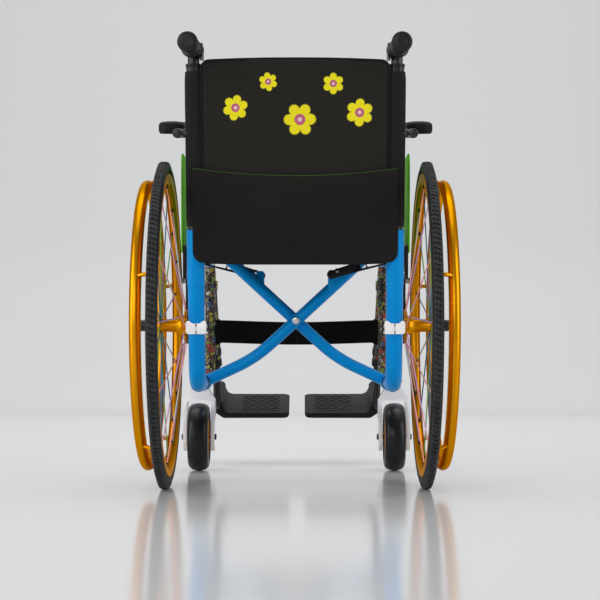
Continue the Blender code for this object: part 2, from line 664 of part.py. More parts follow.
def handle_grip(name, pivot):
    """Folding tube with its ribbed rubber grip, reaching back from the pivot."""
    stop = HANDLE_BACK - HANDLE_POST_R - 0.005
    neck = [pivot + Vector((0, t, 0)) for t in (stop, stop - 0.002, -GRIP_START - 0.01)]
    neck_r = [HANDLE_TUBE_R - 0.002, HANDLE_TUBE_R, HANDLE_TUBE_R]
    grip = new_object(name + "_handle_grip", rod(neck, neck_r, 12), BLACK, pivot)
    flange = GRIP_LEN * 0.09
    rib_pitch = (GRIP_LEN - 2 * flange) / GRIP_RIBS
    sleeve = [(HANDLE_TUBE_R - 0.001, 0), (GRIP_R - 0.002, 0), (GRIP_R, 0.002), (GRIP_R, flange)]
    for k in range(GRIP_RIBS):
        start = flange + rib_pitch * k
        sleeve += [(GRIP_R - RIB_DEPTH, start + rib_pitch * 0.12),
                   (GRIP_R - RIB_DEPTH, start + rib_pitch * 0.34),
                   (GRIP_R - RIB_DEPTH * 0.3, start + rib_pitch * 0.50),
                   (GRIP_R - RIB_DEPTH * 0.3, start + rib_pitch * 0.90)]
    sleeve += [(GRIP_R, GRIP_LEN - flange), (GRIP_R, GRIP_LEN - 0.003),
               (GRIP_R - 0.004, GRIP_LEN), (HANDLE_TUBE_R - 0.006, GRIP_LEN)]
    sleeve = [(r, -GRIP_START - along) for r, along in sleeve]
    outside = helper(name + "_grip_sleeve", lathe(sleeve, pivot, "Y", 14, closed=False))
    join(grip, outside)
    turn_on_x(GRIP_DROOP, pivot, grip, outside)
    hole = [pivot + Vector((t, 0, 0)) for t in (-2 * HANDLE_TUBE_R, 2 * HANDLE_TUBE_R)]
    cut(grip, helper(name + "_grip_bore", rod(hole, HANDLE_PIN_R + RUN / 2, 8)))


# Caster
def caster(name, side):
    x = side * CASTER_X
    stem_top = BARREL_TOP_Z + CAP_T
    stem = [(STEM_R, FORK_TOP_Z - 0.006), (STEM_R, BARREL_TOP_Z + CLEAR),
            (2 * STEM_R, BARREL_TOP_Z + CLEAR), (2 * STEM_R - 0.001, stem_top)]
    half = FORK_GAP / 2 + FORK_LEG_T
    low_y, high_y = CASTER_Y - FORK_LEG_W / 2, CASTER_Y + FORK_LEG_W / 2
    leg_low = CASTER_Z - 0.029
    arch = [(FORK_TOP_Z, x - 0.012), (FORK_TOP_Z, x + 0.012), (FORK_SHOULDER_Z, x + half),
            (leg_low, x + half), (leg_low, x + half - FORK_LEG_T),
            (FORK_SHOULDER_Z - 0.004, x + half - FORK_LEG_T),
            (FORK_SHOULDER_Z - 0.0005, x + half - FORK_LEG_T - 0.006),
            (FORK_SHOULDER_Z - 0.0005, x - half + FORK_LEG_T + 0.006),
            (FORK_SHOULDER_Z - 0.004, x - half + FORK_LEG_T), (leg_low, x - half + FORK_LEG_T),
            (leg_low, x - half), (FORK_SHOULDER_Z, x - half)]
    fork = new_object(name + "_caster_fork", prism(arch, "Y", low_y, STEM_Y + 0.020), WHITE,
                      (x, STEM_Y, 0))
    shape = [(low_y, leg_low + 0.015), (low_y + 0.012, leg_low), (high_y - 0.010, leg_low),
             (high_y, leg_low + 0.012), (STEM_Y + 0.018, FORK_SHOULDER_Z - 0.006),
             (STEM_Y + 0.018, FORK_TOP_Z + 0.01), (STEM_Y - 0.018, FORK_TOP_Z + 0.01),
             (STEM_Y - 0.024, FORK_SHOULDER_Z + 0.004), (low_y, CASTER_Z + 0.030)]
    trim = prism(round_corners(shape, [0, 0.003, 0.003, 0, 0.01, 0, 0, 0.005, 0.015], 2), "X",
                 x - 0.05, x + 0.05)
    boolean(fork, helper(name + "_fork_trim", trim), "INTERSECT")
    join(fork, helper(name + "_fork_stem", lathe(stem, (x, STEM_Y, 0), "Z", 12, closed=False)))
    hole = [(x - 0.06, CASTER_Y, CASTER_Z), (x + 0.06, CASTER_Y, CASTER_Z)]
    cut(fork, helper(name + "_fork_bore", rod(hole, CASTER_HOLE_R, 12)))

    centre = (x, CASTER_Y, CASTER_Z)
    w = CASTER_W / 2
    seat_r = CASTER_DIA / 2 - CASTER_TYRE_T
    tyre = [(seat_r, -w * 0.86), (CASTER_DIA / 2 - 0.011, -w), (CASTER_DIA / 2 - 0.003, -w * 0.70),
            (CASTER_DIA / 2, -w * 0.32), (CASTER_DIA / 2, w * 0.32),
            (CASTER_DIA / 2 - 0.003, w * 0.70), (CASTER_DIA / 2 - 0.011, w), (seat_r, w * 0.86)]
    new_object(name + "_caster_tyre", lathe(tyre, centre, segments=20), RUBBER, centre)
    rim_r = seat_r - CLEAR
    bore = CASTER_HOLE_R + RUN / 2
    well_r, lip_r, boss_r = rim_r - CASTER_RIM_T, rim_r - CASTER_RIM_T * 0.6, CASTER_HUB_R * 0.86
    rim = [(bore, -w * 0.98), (boss_r, -w * 0.98), (CASTER_HUB_R, -w * 0.35),
           (well_r, -w * 0.35), (lip_r, -w * 0.86), (rim_r, -w * 0.86), (rim_r, w * 0.86),
           (lip_r, w * 0.86), (well_r, w * 0.35), (CASTER_HUB_R, w * 0.35),
           (boss_r, w * 0.98), (bore, w * 0.98)]
    wheel = new_object(name + "_caster_rim", lathe(rim, centre, segments=20), GOLD, centre)
    low_r, high_r = CASTER_HUB_R * 1.2, well_r - 0.003
    windows = bmesh.new()
    for k in range(CASTER_SPOKES):
        turn, half_turn = 2 * math.pi * k / CASTER_SPOKES, math.pi / CASTER_SPOKES
        rings = []
        for out_x in (x - CASTER_W, x + CASTER_W):
            spots = [(low_r, -0.45), (high_r, -0.72), (high_r, 0), (high_r, 0.72), (low_r, 0.45)]
            rings.append([windows.verts.new((out_x, CASTER_Y + r * math.cos(turn + a * half_turn),
                                             CASTER_Z + r * math.sin(turn + a * half_turn)))
                          for r, a in spots])
        bridge(windows, *rings)
        windows.faces.new(rings[0])
        windows.faces.new(rings[1])
    cut(wheel, helper(name + "_caster_windows", windows))
    out = half + CLEAR
    bolt = [(0.0065, -out - 0.0035), (0.0065, -out), (CASTER_HOLE_R - CLEAR, -out),
            (CASTER_HOLE_R - CLEAR, out), (0.0065, out), (0.0065, out + 0.0035)]
    new_object(name + "_caster_axle", lathe(bolt, centre, segments=12, closed=False), BLACK,
               centre)


# Armrest
def armrest(name, side):
    x = side * ARMREST_X
    pivot = Vector((x, lean_y(ARMREST_Z), ARMREST_Z))
    end_y = PAD_BACK_Y + PAD_LEN - 0.040
    back = ARMREST_TUBE_R + 0.002
    path = [(x, pivot.y - back, ARMREST_Z), (x, pivot.y - back + 0.0015, ARMREST_Z),
            (x, end_y, ARMREST_Z)]
    tube = new_object(name + "_armrest_tube",
                      rod(path, [ARMREST_TUBE_R - 0.002, ARMREST_TUBE_R, ARMREST_TUBE_R], 12),
                      BLACK, pivot)
    hole = [(side * (ARMREST_X - 2 * ARMREST_TUBE_R), pivot.y, pivot.z),
            (side * (ARMREST_X + ARMREST_PIN_OUT + CLEAR), pivot.y, pivot.z)]
    cut(tube, helper(name + "_armrest_bore", rod(hole, ARMREST_PIN_R + RUN / 2, 8)))
    low_x, high_x = spanned(side, PAD_IN_X, PAD_OUT_X)
    half = Vector(((high_x - low_x) / 2, PAD_LEN / 2, 0))
    middle = Vector(((low_x + high_x) / 2, PAD_BACK_Y + PAD_LEN / 2, 0))
    outline = round_corners([(-half.x, -half.y), (half.x, -half.y), (half.x, half.y),
                             (-half.x, half.y)], PAD_CORNER_R, 4)
    bm = bmesh.new()
    rings = []
    for share, inset in ((0, 0.003), (0.16, 0), (0.70, 0), (0.91, 0.002), (1, 0.007)):
        z = PAD_LOW_Z + PAD_T * share
        rings.append([bm.verts.new((middle.x + px * (1 - inset / half.x),
                                    middle.y + py * (1 - inset / half.y), z))
                      for px, py in outline])
    for one, other in zip(rings, rings[1:]):
        bridge(bm, one, other)
    bm.faces.new(rings[0])
    bm.faces.new(rings[-1])
    pad = new_object(name + "_armrest_pad", bm, FABRIC, pivot)
    groove = [(x, pivot.y - PAD_LEN, ARMREST_Z), (x, end_y + 0.001, ARMREST_Z)]
    wall = block((min(x, x - side * 0.03), PAD_BACK_Y - 0.01, PAD_LOW_Z - PAD_T),
                 (max(x, x - side * 0.03), end_y + 0.001, ARMREST_Z))
    room = helper(name + "_pad_groove", rod(groove, ARMREST_TUBE_R + CLEAR, 12))
    relief = helper(name + "_pad_relief", wall)
    cut(pad, room, relief)
    turn_on_x(ARMREST_TILT, pivot, tube, pad, room, relief)


# Side guard and its holder
def side_guard(name, side):
    low_x, high_x = spanned(side, GUARD_X, GUARD_X + GUARD_T)
    height = GUARD_TOP_Z - GUARD_LOW_Z
    corners = ((0, 0, 0.008), (1, 0, 0.010), (1, 0.29, 0.040), (0.75, 0.75, 0.070),
               (0.31, 1, 0.060), (0, 1, 0.018))
    outline = round_corners([(GUARD_BACK_Y + a * GUARD_LEN, GUARD_LOW_Z + b * height)
                             for a, b, _ in corners], [r for _, _, r in corners], 4)
    new_object(name + "_side_guard", prism(outline, "X", low_x, high_x), GREEN,
               (low_x, 0, GUARD_LOW_Z))
    x_in = GUARD_X - CLEAR - HOLDER_T
    low_x, high_x = spanned(side, x_in, GUARD_X - CLEAR)
    back = GUARD_BACK_Y - 0.006
    foot = UPPER_RAIL_Z - HOLDER_TAIL
    top = UPPER_RAIL_Z + HOLDER_T + 0.001
    shape = [(back + 0.002, foot), (back + 0.014, foot), (back + 0.024, foot + HOLDER_TAIL * 0.3),
             (back + HOLDER_LEN, top - HOLDER_TAIL * 0.46), (back + HOLDER_LEN, top), (back, top)]
    shape = round_corners(shape, [0.004, 0.004, 0.01, 0.012, 0.006, 0.006], 3)
    holder = new_object(name + "_guard_holder", prism(shape, "X", low_x, high_x), BLACK,
                        (low_x, 0, UPPER_RAIL_Z))
    boss_x = spanned(side, FRAME_X + UPPER_RAIL_R * 0.6, x_in + 0.001)
    near, far = HOLDER_SEAT_Y - HOLDER_SEAT_LEN / 2, HOLDER_SEAT_Y + HOLDER_SEAT_LEN / 2
    boss = block((boss_x[0], near, UPPER_RAIL_Z - UPPER_RAIL_R * 0.82),
                 (boss_x[1], far, UPPER_RAIL_Z + UPPER_RAIL_R * 0.64))
    join(holder, helper(name + "_holder_boss", boss))
    rail = [(side * FRAME_X, near - 0.03, UPPER_RAIL_Z), (side * FRAME_X, far + 0.02, UPPER_RAIL_Z)]
    cut(holder, helper(name + "_holder_seat", rod(rail, UPPER_RAIL_R + CLEAR, 12)))


# Wheel lock


def wheel_lock(name, side):
    pivot = Vector((side * BRAKE_PLATE_X, BRAKE_PIVOT_Y, BRAKE_PIVOT_Z))
    y, z = BRAKE_PIVOT_Y, BRAKE_PIVOT_Z
    low_x, high_x = spanned(side, BRAKE_PLATE_X, BRAKE_PLATE_X + BRAKE_PLATE_T)
    foot_w, head_w = 3 * BRAKE_PIN_R, BRAKE_SEAT_LEN / 2 + 0.004
    outline = [(y - foot_w, z - foot_w), (y + foot_w, z - foot_w),
               (y + head_w, UPPER_RAIL_Z - UPPER_RAIL_R / 2),
               (y + head_w, UPPER_RAIL_Z + UPPER_RAIL_R * 0.9),
               (y - head_w, UPPER_RAIL_Z + UPPER_RAIL_R * 0.9),
               (y - head_w, UPPER_RAIL_Z - UPPER_RAIL_R / 2)]
    base = new_object(name + "_brake_base",
                      prism(round_corners(outline, 0.006, 3), "X", low_x, high_x), BLACK, pivot)
    boss_x = spanned(side, FRAME_X + UPPER_RAIL_R * 0.5, BRAKE_PLATE_X + 0.001)
    boss = block((boss_x[0], y - BRAKE_SEAT_LEN / 2, UPPER_RAIL_Z - UPPER_RAIL_R * 0.82),
                 (boss_x[1], y + BRAKE_SEAT_LEN / 2, UPPER_RAIL_Z + UPPER_RAIL_R * 0.82))
    pin = [(side * (BRAKE_PLATE_X + 0.001), y, z),
           (side * (BRAKE_PLATE_X + BRAKE_PLATE_T + LEVER_T + 0.0035), y, z)]
    join(base, helper(name + "_brake_boss", boss),
         helper(name + "_brake_pin", rod(pin, BRAKE_PIN_R, 10)))
    spread = (POST_X - FRAME_X) / (SPLAYED_Y - SPLAY_Y)
    rail = [(side * (FRAME_X + spread * (t - SPLAY_Y)), t, UPPER_RAIL_Z)
            for t in (SPLAY_Y, SPLAYED_Y)]
    cut(base, helper(name + "_brake_seat", rod(rail, UPPER_RAIL_R + CLEAR * 2, 12)))

    plate_in = BRAKE_PLATE_X + BRAKE_PLATE_T + CLEAR
    low_x, high_x = spanned(side, plate_in, plate_in + LEVER_T)
    along = Vector((0, math.cos(LEVER_ANGLE), math.sin(LEVER_ANGLE)))
    shoe = Vector((0, SHOE_REACH_Y, SHOE_REACH_Z))
    hub = [(y + 0.011, z - 0.004), (y + 0.012, z + 0.008), (y + 0.032, z + 0.036),
           (y + 0.022, z + 0.044), (y + 0.004, z + 0.022), (y - 0.013, z + 0.030),
           (y - 0.020, z + 0.017), (y - 0.009, z - 0.006), (y, z - 0.010)]
    lever = new_object(name + "_brake_lever",
                       prism(round_corners(hub, 0.003, 2), "X", low_x, high_x), BLACK, pivot)
    mid_x = side * (plate_in + 0.0055)
    arm = [Vector((mid_x, y, z)) + along * LEVER_LEN * t for t in (0.28, 0.56, 0.59, 0.97, 1)]
    shoe_end = TYRE_W / 2 + WHEEL_X
    pad = [Vector((side * (plate_in + 0.001), y, z)) + shoe,
           Vector((side * shoe_end, y, z)) + shoe]
    join(lever, helper(name + "_lever_grip", rod(arm, [0.005, 0.005, 0.0085, 0.0085, 0.005], 10)),
         helper(name + "_brake_shoe", rod(pad, SHOE_R, 12)))
    hole = [(side * (plate_in - LEVER_T), y, z), (side * (plate_in + 3 * LEVER_T), y, z)]
    cut(lever, helper(name + "_lever_bore", rod(hole, BRAKE_PIN_R + RUN / 2, 10)))


# Hanger, foot tube, footplate, calf strap
def hanger_at(side, z):
    share = (HANGER_TOP_Z - z) / (HANGER_TOP_Z - HANGER_LOW_Z)
    return Vector((side * (HANGER_TOP_X + (HANGER_LOW_X - HANGER_TOP_X) * share),
                   HANGER_TOP_Y + (HANGER_LOW_Y - HANGER_TOP_Y) * share, z))


def hanger(name, side):
    post = (side * POST_X, POST_Y, 0)
    top, low = hanger_at(side, HANGER_TOP_Z), hanger_at(side, HANGER_LOW_Z)
    down = (low - top).normalized()
    path = [top - down * 0.004, top, low]
    made = new_object(name + "_hanger", rod(path, [HANGER_R - 0.003, HANGER_R, HANGER_R], 12),
                      BLACK, post)
    for k, (z, height) in enumerate(((TOP_RING_Z, TOP_RING_H), (LOW_RING_Z, LOW_RING_H))):
        ring_r = POST_R + RUN + POST_RING_T
        ring = [(ring_r, z - height / 2), (ring_r, z + height / 2),
                (POST_R + RUN, z + height / 2), (POST_R + RUN, z - height / 2)]
        web_start = Vector((side * POST_X, POST_Y + POST_R + POST_RING_T * 0.8, z))
        join(made, helper(f"{name}_post_ring_{k}", lathe(ring, post, "Z", 12)),
             helper(f"{name}_post_web_{k}", rod([web_start, hanger_at(side, z)], 0.0065, 6)))
    bore = [low - down * FOOT_TUBE_DEPTH, low + down * HANGER_R]
    cut(made, helper(name + "_hanger_bore", rod(bore, FOOT_TUBE_R + CLEAR, 12)))
    z = LATCH_Z
    spot = hanger_at(side, z)
    face = abs(hanger_at(side, z + LATCH_LEN).x) + HANGER_R + CLEAR
    pin = [spot, Vector((side * (face + LATCH_T + 0.0015), spot.y, z))]
    join(made, helper(name + "_latch_pin", rod(pin, LATCH_PIN_R, 8)))
    low_x, high_x = spanned(side, face, face + LATCH_T)
    y = spot.y
    end = z + LATCH_LEN - 0.007
    outline = [(y - 0.006, z - 0.007), (y + 0.007, z - 0.007), (y + 0.003, z + LATCH_LEN * 0.38),
               (y - 0.002, end), (y - 0.012, end - 0.002), (y - 0.008, z + LATCH_LEN * 0.34)]
    latch = new_object(name + "_hanger_latch",
                       prism(round_corners(outline, 0.0035, 2), "X", low_x, high_x), BLACK, spot)
    hole = [spot, Vector((side * (face + 3 * LATCH_T), spot.y, z))]
    cut(latch, helper(name + "_latch_bore", rod(hole, LATCH_PIN_R + RUN / 2, 8)))


TILT_UP = Vector((0, math.cos(PLATE_TILT), math.sin(PLATE_TILT)))
HINGE_Z = PLATE_REAR_Z + PLATE_DROP / math.cos(PLATE_TILT)


def foot_tube(name, side):
    top, low = hanger_at(side, HANGER_TOP_Z), hanger_at(side, HANGER_LOW_Z)
    down = (low - top).normalized()
    hinge = Vector((side * FOOT_HINGE_X, FOOT_HINGE_Y, HINGE_Z))
    corner = hinge - TILT_UP * (FOOT_BEND_R + 0.005)
    path = [low - down * (FOOT_TUBE_DEPTH - CLEAR)]
    path += rounded([low + down * 0.004, corner, hinge + TILT_UP * PLATE_PIN_LEN], FOOT_BEND_R, 4)
    path.insert(-1, hinge - TILT_UP * 0.002)
    radii = [FOOT_TUBE_R] * (len(path) - 2) + [PLATE_PIN_R] * 2
    new_object(name + "_foot_tube", rod(path, radii, 12), BLACK, low)


def footplate(name, side):
    hinge = Vector((side * FOOT_HINGE_X, FOOT_HINGE_Y, HINGE_Z))
    reach = FOOT_HINGE_X - PLATE_IN_X
    drop, t = PLATE_DROP, PLATE_T
    section = [(-0.004, 0.006), (0.006, 0.004), (0.016, -drop + 0.004), (0.026, -drop),
               (reach - 0.001, -drop), (reach, -drop - 0.002), (reach, -drop - t + 0.004),
               (reach - 0.004, -drop - t), (0.012, -drop - t), (-0.006, -drop + 0.002)]
    across = Vector((-side, 0, 0))
    above = Vector((0, -math.sin(PLATE_TILT), math.cos(PLATE_TILT)))
    bm = bmesh.new()
    rings = []
    for u in (0.0, PLATE_LEN):
        rings.append([bm.verts.new(hinge + TILT_UP * u + across * v + above * w)
                      for v, w in section])
    bridge(bm, *rings)
    bm.faces.new(rings[0])
    bm.faces.new(rings[1])
    plate = new_object(name + "_footplate", bm, BLACK, hinge)
    out = PLATE_SLEEVE_R * 2
    corners = [(-out, -out), (-out, PLATE_LEN + out), (out, PLATE_LEN + out),
               (2 * out, PLATE_LEN - 0.0005), (reach - 0.0005, PLATE_LEN - 0.0005),
               (reach - 0.0005, 0.0005), (2 * out, 0.0005), (out, -out)]
    corners = round_corners(corners, [0, 0, 0, 0, PLATE_CORNER_R, PLATE_CORNER_R, 0, 0], 4)
    bm = bmesh.new()
    rings = []
    for w in (-0.06, 0.03):
        rings.append([bm.verts.new(hinge + TILT_UP * u + across * v + above * w)
                      for v, u in corners])
    bridge(bm, *rings)
    bm.faces.new(rings[0])
    bm.faces.new(rings[1])
    boolean(plate, helper(name + "_plate_trim", bm), "INTERSECT")
    knuckle = [hinge + TILT_UP * 0.001, hinge + TILT_UP * (PLATE_LEN - 0.001)]
    hole = [hinge - TILT_UP * PLATE_SLEEVE_R, hinge + TILT_UP * (PLATE_PIN_LEN + 0.005)]
    join(plate, helper(name + "_plate_knuckle", rod(knuckle, PLATE_SLEEVE_R, 16)))
    ribs = bmesh.new()
    for k in range(PLATE_RIBS):
        u = PLATE_LEN * (k + 1) / (PLATE_RIBS + 1)
        line = []
        for j in range(PLATE_RIBS):
            v = 0.034 + (reach - 0.048) * j / (PLATE_RIBS - 1)
            wave = PLATE_RIB_W * (1 if (j + k) % 2 else -1)
            line.append(hinge + TILT_UP * (u + wave) + across * v + above * -drop)
        sweep(ribs, line, PLATE_RIB_H, 4, flat=1.0, up=above)
    join(plate, helper(name + "_plate_tread", ribs))
    cut(plate, helper(name + "_plate_bore", rod(hole, PLATE_PIN_R + RUN / 2, 12)))


def calf_strap(name, side):
    low, high = STRAP_Z - STRAP_H / 2, STRAP_Z + STRAP_H / 2
    bottom, top = hanger_at(side, low), hanger_at(side, high)
    back = HANGER_R + STRAP_T + CLEAR
    outline = [(bottom.y - back, low), (bottom.y - back + STRAP_T, low),
               (top.y - back + STRAP_T, high), (top.y - back, high)]
    low_x, high_x = spanned(side, CLEAR / 2, HANGER_LOW_X)
    strap = new_object(name + "_calf_strap", prism(outline, "X", low_x, high_x), FABRIC, bottom)
    join(strap, helper(name + "_strap_loop", rod([bottom, top], back, 12)))
    down = (bottom - top) * 0.3
    cut(strap, helper(name + "_strap_bore", rod([top - down, bottom + down], HANGER_R + CLEAR, 12)))


# Cross-brace
def cross_arm(name, low_side):
    """The arm that starts at the low rail of one side and carries the other side's seat rail."""
    y = ARM_Y + low_side * (ARM_R + ARM_GAP / 2)
    low = Vector((low_side * FRAME_X, y, LOWER_RAIL_Z))
    high = Vector((-low_side * SEAT_RAIL_X, y, SEAT_RAIL_Z))
    slope = (SEAT_RAIL_Z - PIVOT_Z) / SEAT_RAIL_X
    foot_slope = math.tan(math.radians(25))
    knee_x = (PIVOT_Z - LOWER_RAIL_Z - foot_slope * FRAME_X) / (slope - foot_slope)
    knee = Vector((low_side * knee_x, y, PIVOT_Z - slope * knee_x))
    arm = new_object(name, rod(rounded([low, knee, high], 0.25, 5), ARM_R, 10, up=(0, 1, 0)), BLUE,
                     low)
    sleeve = [(low.x, ARM_Y - ARM_SLEEVE_LEN / 2, LOWER_RAIL_Z),
              (low.x, ARM_Y + ARM_SLEEVE_LEN / 2, LOWER_RAIL_Z)]
    rail = [(high.x, SEAT_BACK_Y, SEAT_RAIL_Z), (high.x, SEAT_FRONT_Y, SEAT_RAIL_Z)]
    lug_x = -low_side * LUG_X
    lug_low = y + low_side * 0.0055
    lug_high = y + low_side * ARM_R
    along = Vector((-low_side, 0, slope)).normalized()
    above = Vector((low_side * slope, 0, 1)).normalized()
    foot = Vector((lug_x, 0, PIVOT_Z + slope * LUG_X))
    reach = (Vector((lug_x, 0, LUG_Z)) - foot).dot(above)
    lean = (Vector((lug_x, 0, LUG_Z)) - foot).dot(along)
    lug = [(-0.022, 0.0), (0.022, 0.0), (lean + 0.009, reach + 0.008),
           (lean - 0.009, reach + 0.008)]
    lug = [foot + along * a + above * b for a, b in lug]
    lug = prism([(p.z, p.x) for p in lug], "Y", min(lug_low, lug_high), max(lug_low, lug_high))
    join(arm, helper(name + "_sleeve", rod(sleeve, ARM_SLEEVE_R, 12)),
         helper(name + "_seat_rail", rod(rail, SEAT_RAIL_R, 12)), helper(name + "_lug", lug))
    bore = [(low.x, 0, LOWER_RAIL_Z), (low.x, 0.3, LOWER_RAIL_Z)]
    bolt = [(0, 0, PIVOT_Z), (0, 0.3, PIVOT_Z)]
    room = CLEAR if low_side < 0 else RUN / 2
    cut(arm, helper(name + "_bore", rod(bore, (RAIL_R + RUN / 2) / math.cos(math.pi / 12), 12)),
        helper(name + "_bolt_bore", rod(bolt, BOLT_R + room, 12)))


def pivot_bolt():
    out = 2 * ARM_R + ARM_GAP / 2 + CLEAR
    head = 0.0075
    profile = [(head - 0.001, -out - 0.004), (head, -out - 0.003), (head, -out), (BOLT_R, -out),
               (BOLT_R, out), (head, out), (head, out + 0.004)]
    new_object("pivot_bolt", lathe(profile, (0, ARM_Y, PIVOT_Z), "Y", 12, closed=False), STEEL,
               (0, ARM_Y, PIVOT_Z))


def stabiliser_link(name, side):
    """Openwork bar from a ring on the seat-level rail to the lug on the arm."""
    arm_way = -side
    y = ARM_Y + arm_way * (2 * ARM_R + ARM_GAP / 2 + RUN)
    y_low, y_high = sorted((y, y + arm_way * LINK_T))
    ring_at = Vector((side * FRAME_X, 0, UPPER_RAIL_Z))
    end_at = Vector((side * LUG_X, 0, LUG_Z))
    along = (end_at - ring_at).normalized()
    above = Vector((-along.z, 0, along.x)) * (1 if along.x > 0 else -1)
    length = (end_at - ring_at).length

    def plan(points):
        spots = [ring_at + along * a + above * b for a, b in points]
        return [(p.z, p.x) for p in spots]

    outer = plan([(0, -0.0135), (0, 0.0050), (length, 0.0055), (length + 0.007, 0.0045),
                  (length + 0.008, -0.003), (length, -0.0085), (length - 0.012, -0.0095)])
    link = new_object(name + "_stabiliser_link", prism(outer, "Y", y_low, y_high), BLACK,
                      (side * FRAME_X, y, UPPER_RAIL_Z))
    rail_ring = [(side * FRAME_X, (y_low + y_high) / 2 - 0.006, UPPER_RAIL_Z),
                 (side * FRAME_X, (y_low + y_high) / 2 + 0.006, UPPER_RAIL_Z)]
    join(link, helper(name + "_link_ring", rod(rail_ring, LINK_RING_R, 16)))
    w = LINK_W
    windows = []
    for k, (a0, a1) in enumerate(((0.018, 0.040), (0.040 + w, LINK_OPEN_LEN))):
        window = plan([(a0, -0.0125 + w + a0 * 0.035), (a0, 0.0050 - w), (a1, 0.0053 - w),
                       (a1, -0.0125 + w + a1 * 0.035)])
        windows.append(helper(f"{name}_link_window_{k}", prism(window, "Y", y_low - 0.02,
                                                               y_high + 0.02)))
    bore = [(side * FRAME_X, 0, UPPER_RAIL_Z), (side * FRAME_X, 0.26, UPPER_RAIL_Z)]
    cut(link, *windows, helper(name + "_link_bore", rod(bore, UPPER_RAIL_R + RUN, 16)))


# Slings
def seat_sling():
    half = SEAT_RAIL_X + SEAT_OUT
    sag, thick = SEAT_SAG, SEAT_T
    base = SEAT_RAIL_Z + SEAT_RAIL_R + CLEAR
    top, under = [], []
    count = 12
    for k in range(count + 1):
        x = -half + 2 * half * k / count
        drop = sag * max(0.0, 1 - (x / (SEAT_RAIL_X - SEAT_RAIL_R)) ** 2)
        top.append((base + thick - drop, x))
        under.append((base - drop, x))
    bm = prism(top + under[::-1], "Y", SEAT_BACK_Y + 0.004, SEAT_FRONT_Y - 0.008)
    new_object("seat_sling", bm, FABRIC, (0, 0, base))


def leaning_slab(outline, v):
    """A slab along the leaning canes: (x, z) points, with v measured from their centre line."""
    bm = bmesh.new()
    rings = [[bm.verts.new((x, lean_y(z) + behind, z)) for x, z in outline] for behind in v]
    bridge(bm, *rings)
    bm.faces.new(rings[0])
    bm.faces.new(rings[1])
    return bm


def band(x, z):
    """Corner points of an upright rectangle between two x and two z values."""
    return [(x[0], z[0]), (x[1], z[0]), (x[1], z[1]), (x[0], z[1])]


def back_sling():
    wrap = CANE_R + SLEEVE_T
    low_z, top_z = COLLAR_TOP_Z + 0.008, CANE_TOP_Z - 0.003
    by_collar = FRAME_X - COLLAR_R - 0.003
    shoulder = BACK_TOP_Z - BACK_CROWN
    crown = [(BACK_HALF * t, BACK_TOP_Z - BACK_CROWN * abs(t) ** 2.4)
             for t in (0.85, 0.6, 0.3, 0, -0.3, -0.6, -0.85)]
    outline = [(by_collar, low_z), (BACK_HALF, low_z), (BACK_HALF, shoulder)] + crown
    outline += [(-BACK_HALF, shoulder), (-BACK_HALF, low_z), (-by_collar, low_z),
                (-by_collar, BACK_LOW_Z + 0.015), (by_collar, BACK_LOW_Z + 0.015)]
    corners = [0, 0, BACK_CORNER_R] + [0] * len(crown) + [BACK_CORNER_R, 0, 0, 0, 0]
    panel = leaning_slab(round_corners(outline, corners, 3), (-wrap - 0.0030, -0.002))
    sling = new_object("back_sling", panel, FABRIC, (0, lean_y(BACK_LOW_Z), BACK_LOW_Z))
    flap = round_corners(band((-FLAP_HALF, FLAP_HALF), (BACK_LOW_Z, BACK_LOW_Z + FLAP_H)),
                         [BACK_CORNER_R, BACK_CORNER_R, 0, 0], 3)
    rear = -wrap - 0.0040
    join(sling, helper("back_flap", leaning_slab(flap, (rear, rear + FLAP_T))))
    for name, side in SIDES:
        x = side * FRAME_X
        sleeve = [(x, lean_y(low_z), low_z), (x, lean_y(top_z), top_z)]
        neck = band(spanned(side, BACK_HALF - 0.006, FRAME_X), (low_z + 0.002, top_z - 0.002))
        join(sling, helper(name + "_back_sleeve", rod(sleeve, wrap, 16)),
             helper(name + "_back_neck", leaning_slab(neck, (-wrap * 0.9, -0.004))))
    for name, side in SIDES:
        x = side * FRAME_X
        bore = [(x, lean_y(z), z) for z in (BACK_LOW_Z - wrap, CANE_TOP_Z + 2 * wrap)]
        pivot_y = lean_y(ARMREST_Z)
        slot = [(x, pivot_y, ARMREST_Z), (side * (ARMREST_X + wrap), pivot_y, ARMREST_Z)]
        cut(sling, helper(name + "_sleeve_bore", rod(bore, CANE_R + CLEAR, 16)),
            helper(name + "_sleeve_slot", rod(slot, ARMREST_SLOT_R, 12)))


for side_name, side_sign in SIDES:
    rear_wheel(side_name, side_sign)
    wheel_axle(side_name, side_sign)
    axle_clamp(side_name, side_sign)
    side_frame(side_name, side_sign)
    back_cane(side_name, side_sign)
    push_handle(side_name, side_sign)
    caster(side_name, side_sign)
    armrest(side_name, side_sign)
    side_guard(side_name, side_sign)
    wheel_lock(side_name, side_sign)
    hanger(side_name, side_sign)
    foot_tube(side_name, side_sign)
    footplate(side_name, side_sign)
    calf_strap(side_name, side_sign)
    cross_arm(side_name + "_cross_arm", side_sign)
    stabiliser_link(side_name, side_sign)
pivot_bolt()
seat_sling()
back_sling()
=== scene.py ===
import math
from functools import partial
import bpy
import bmesh
from mathutils import Matrix, Vector, noise
from mathutils.bvhtree import BVHTree


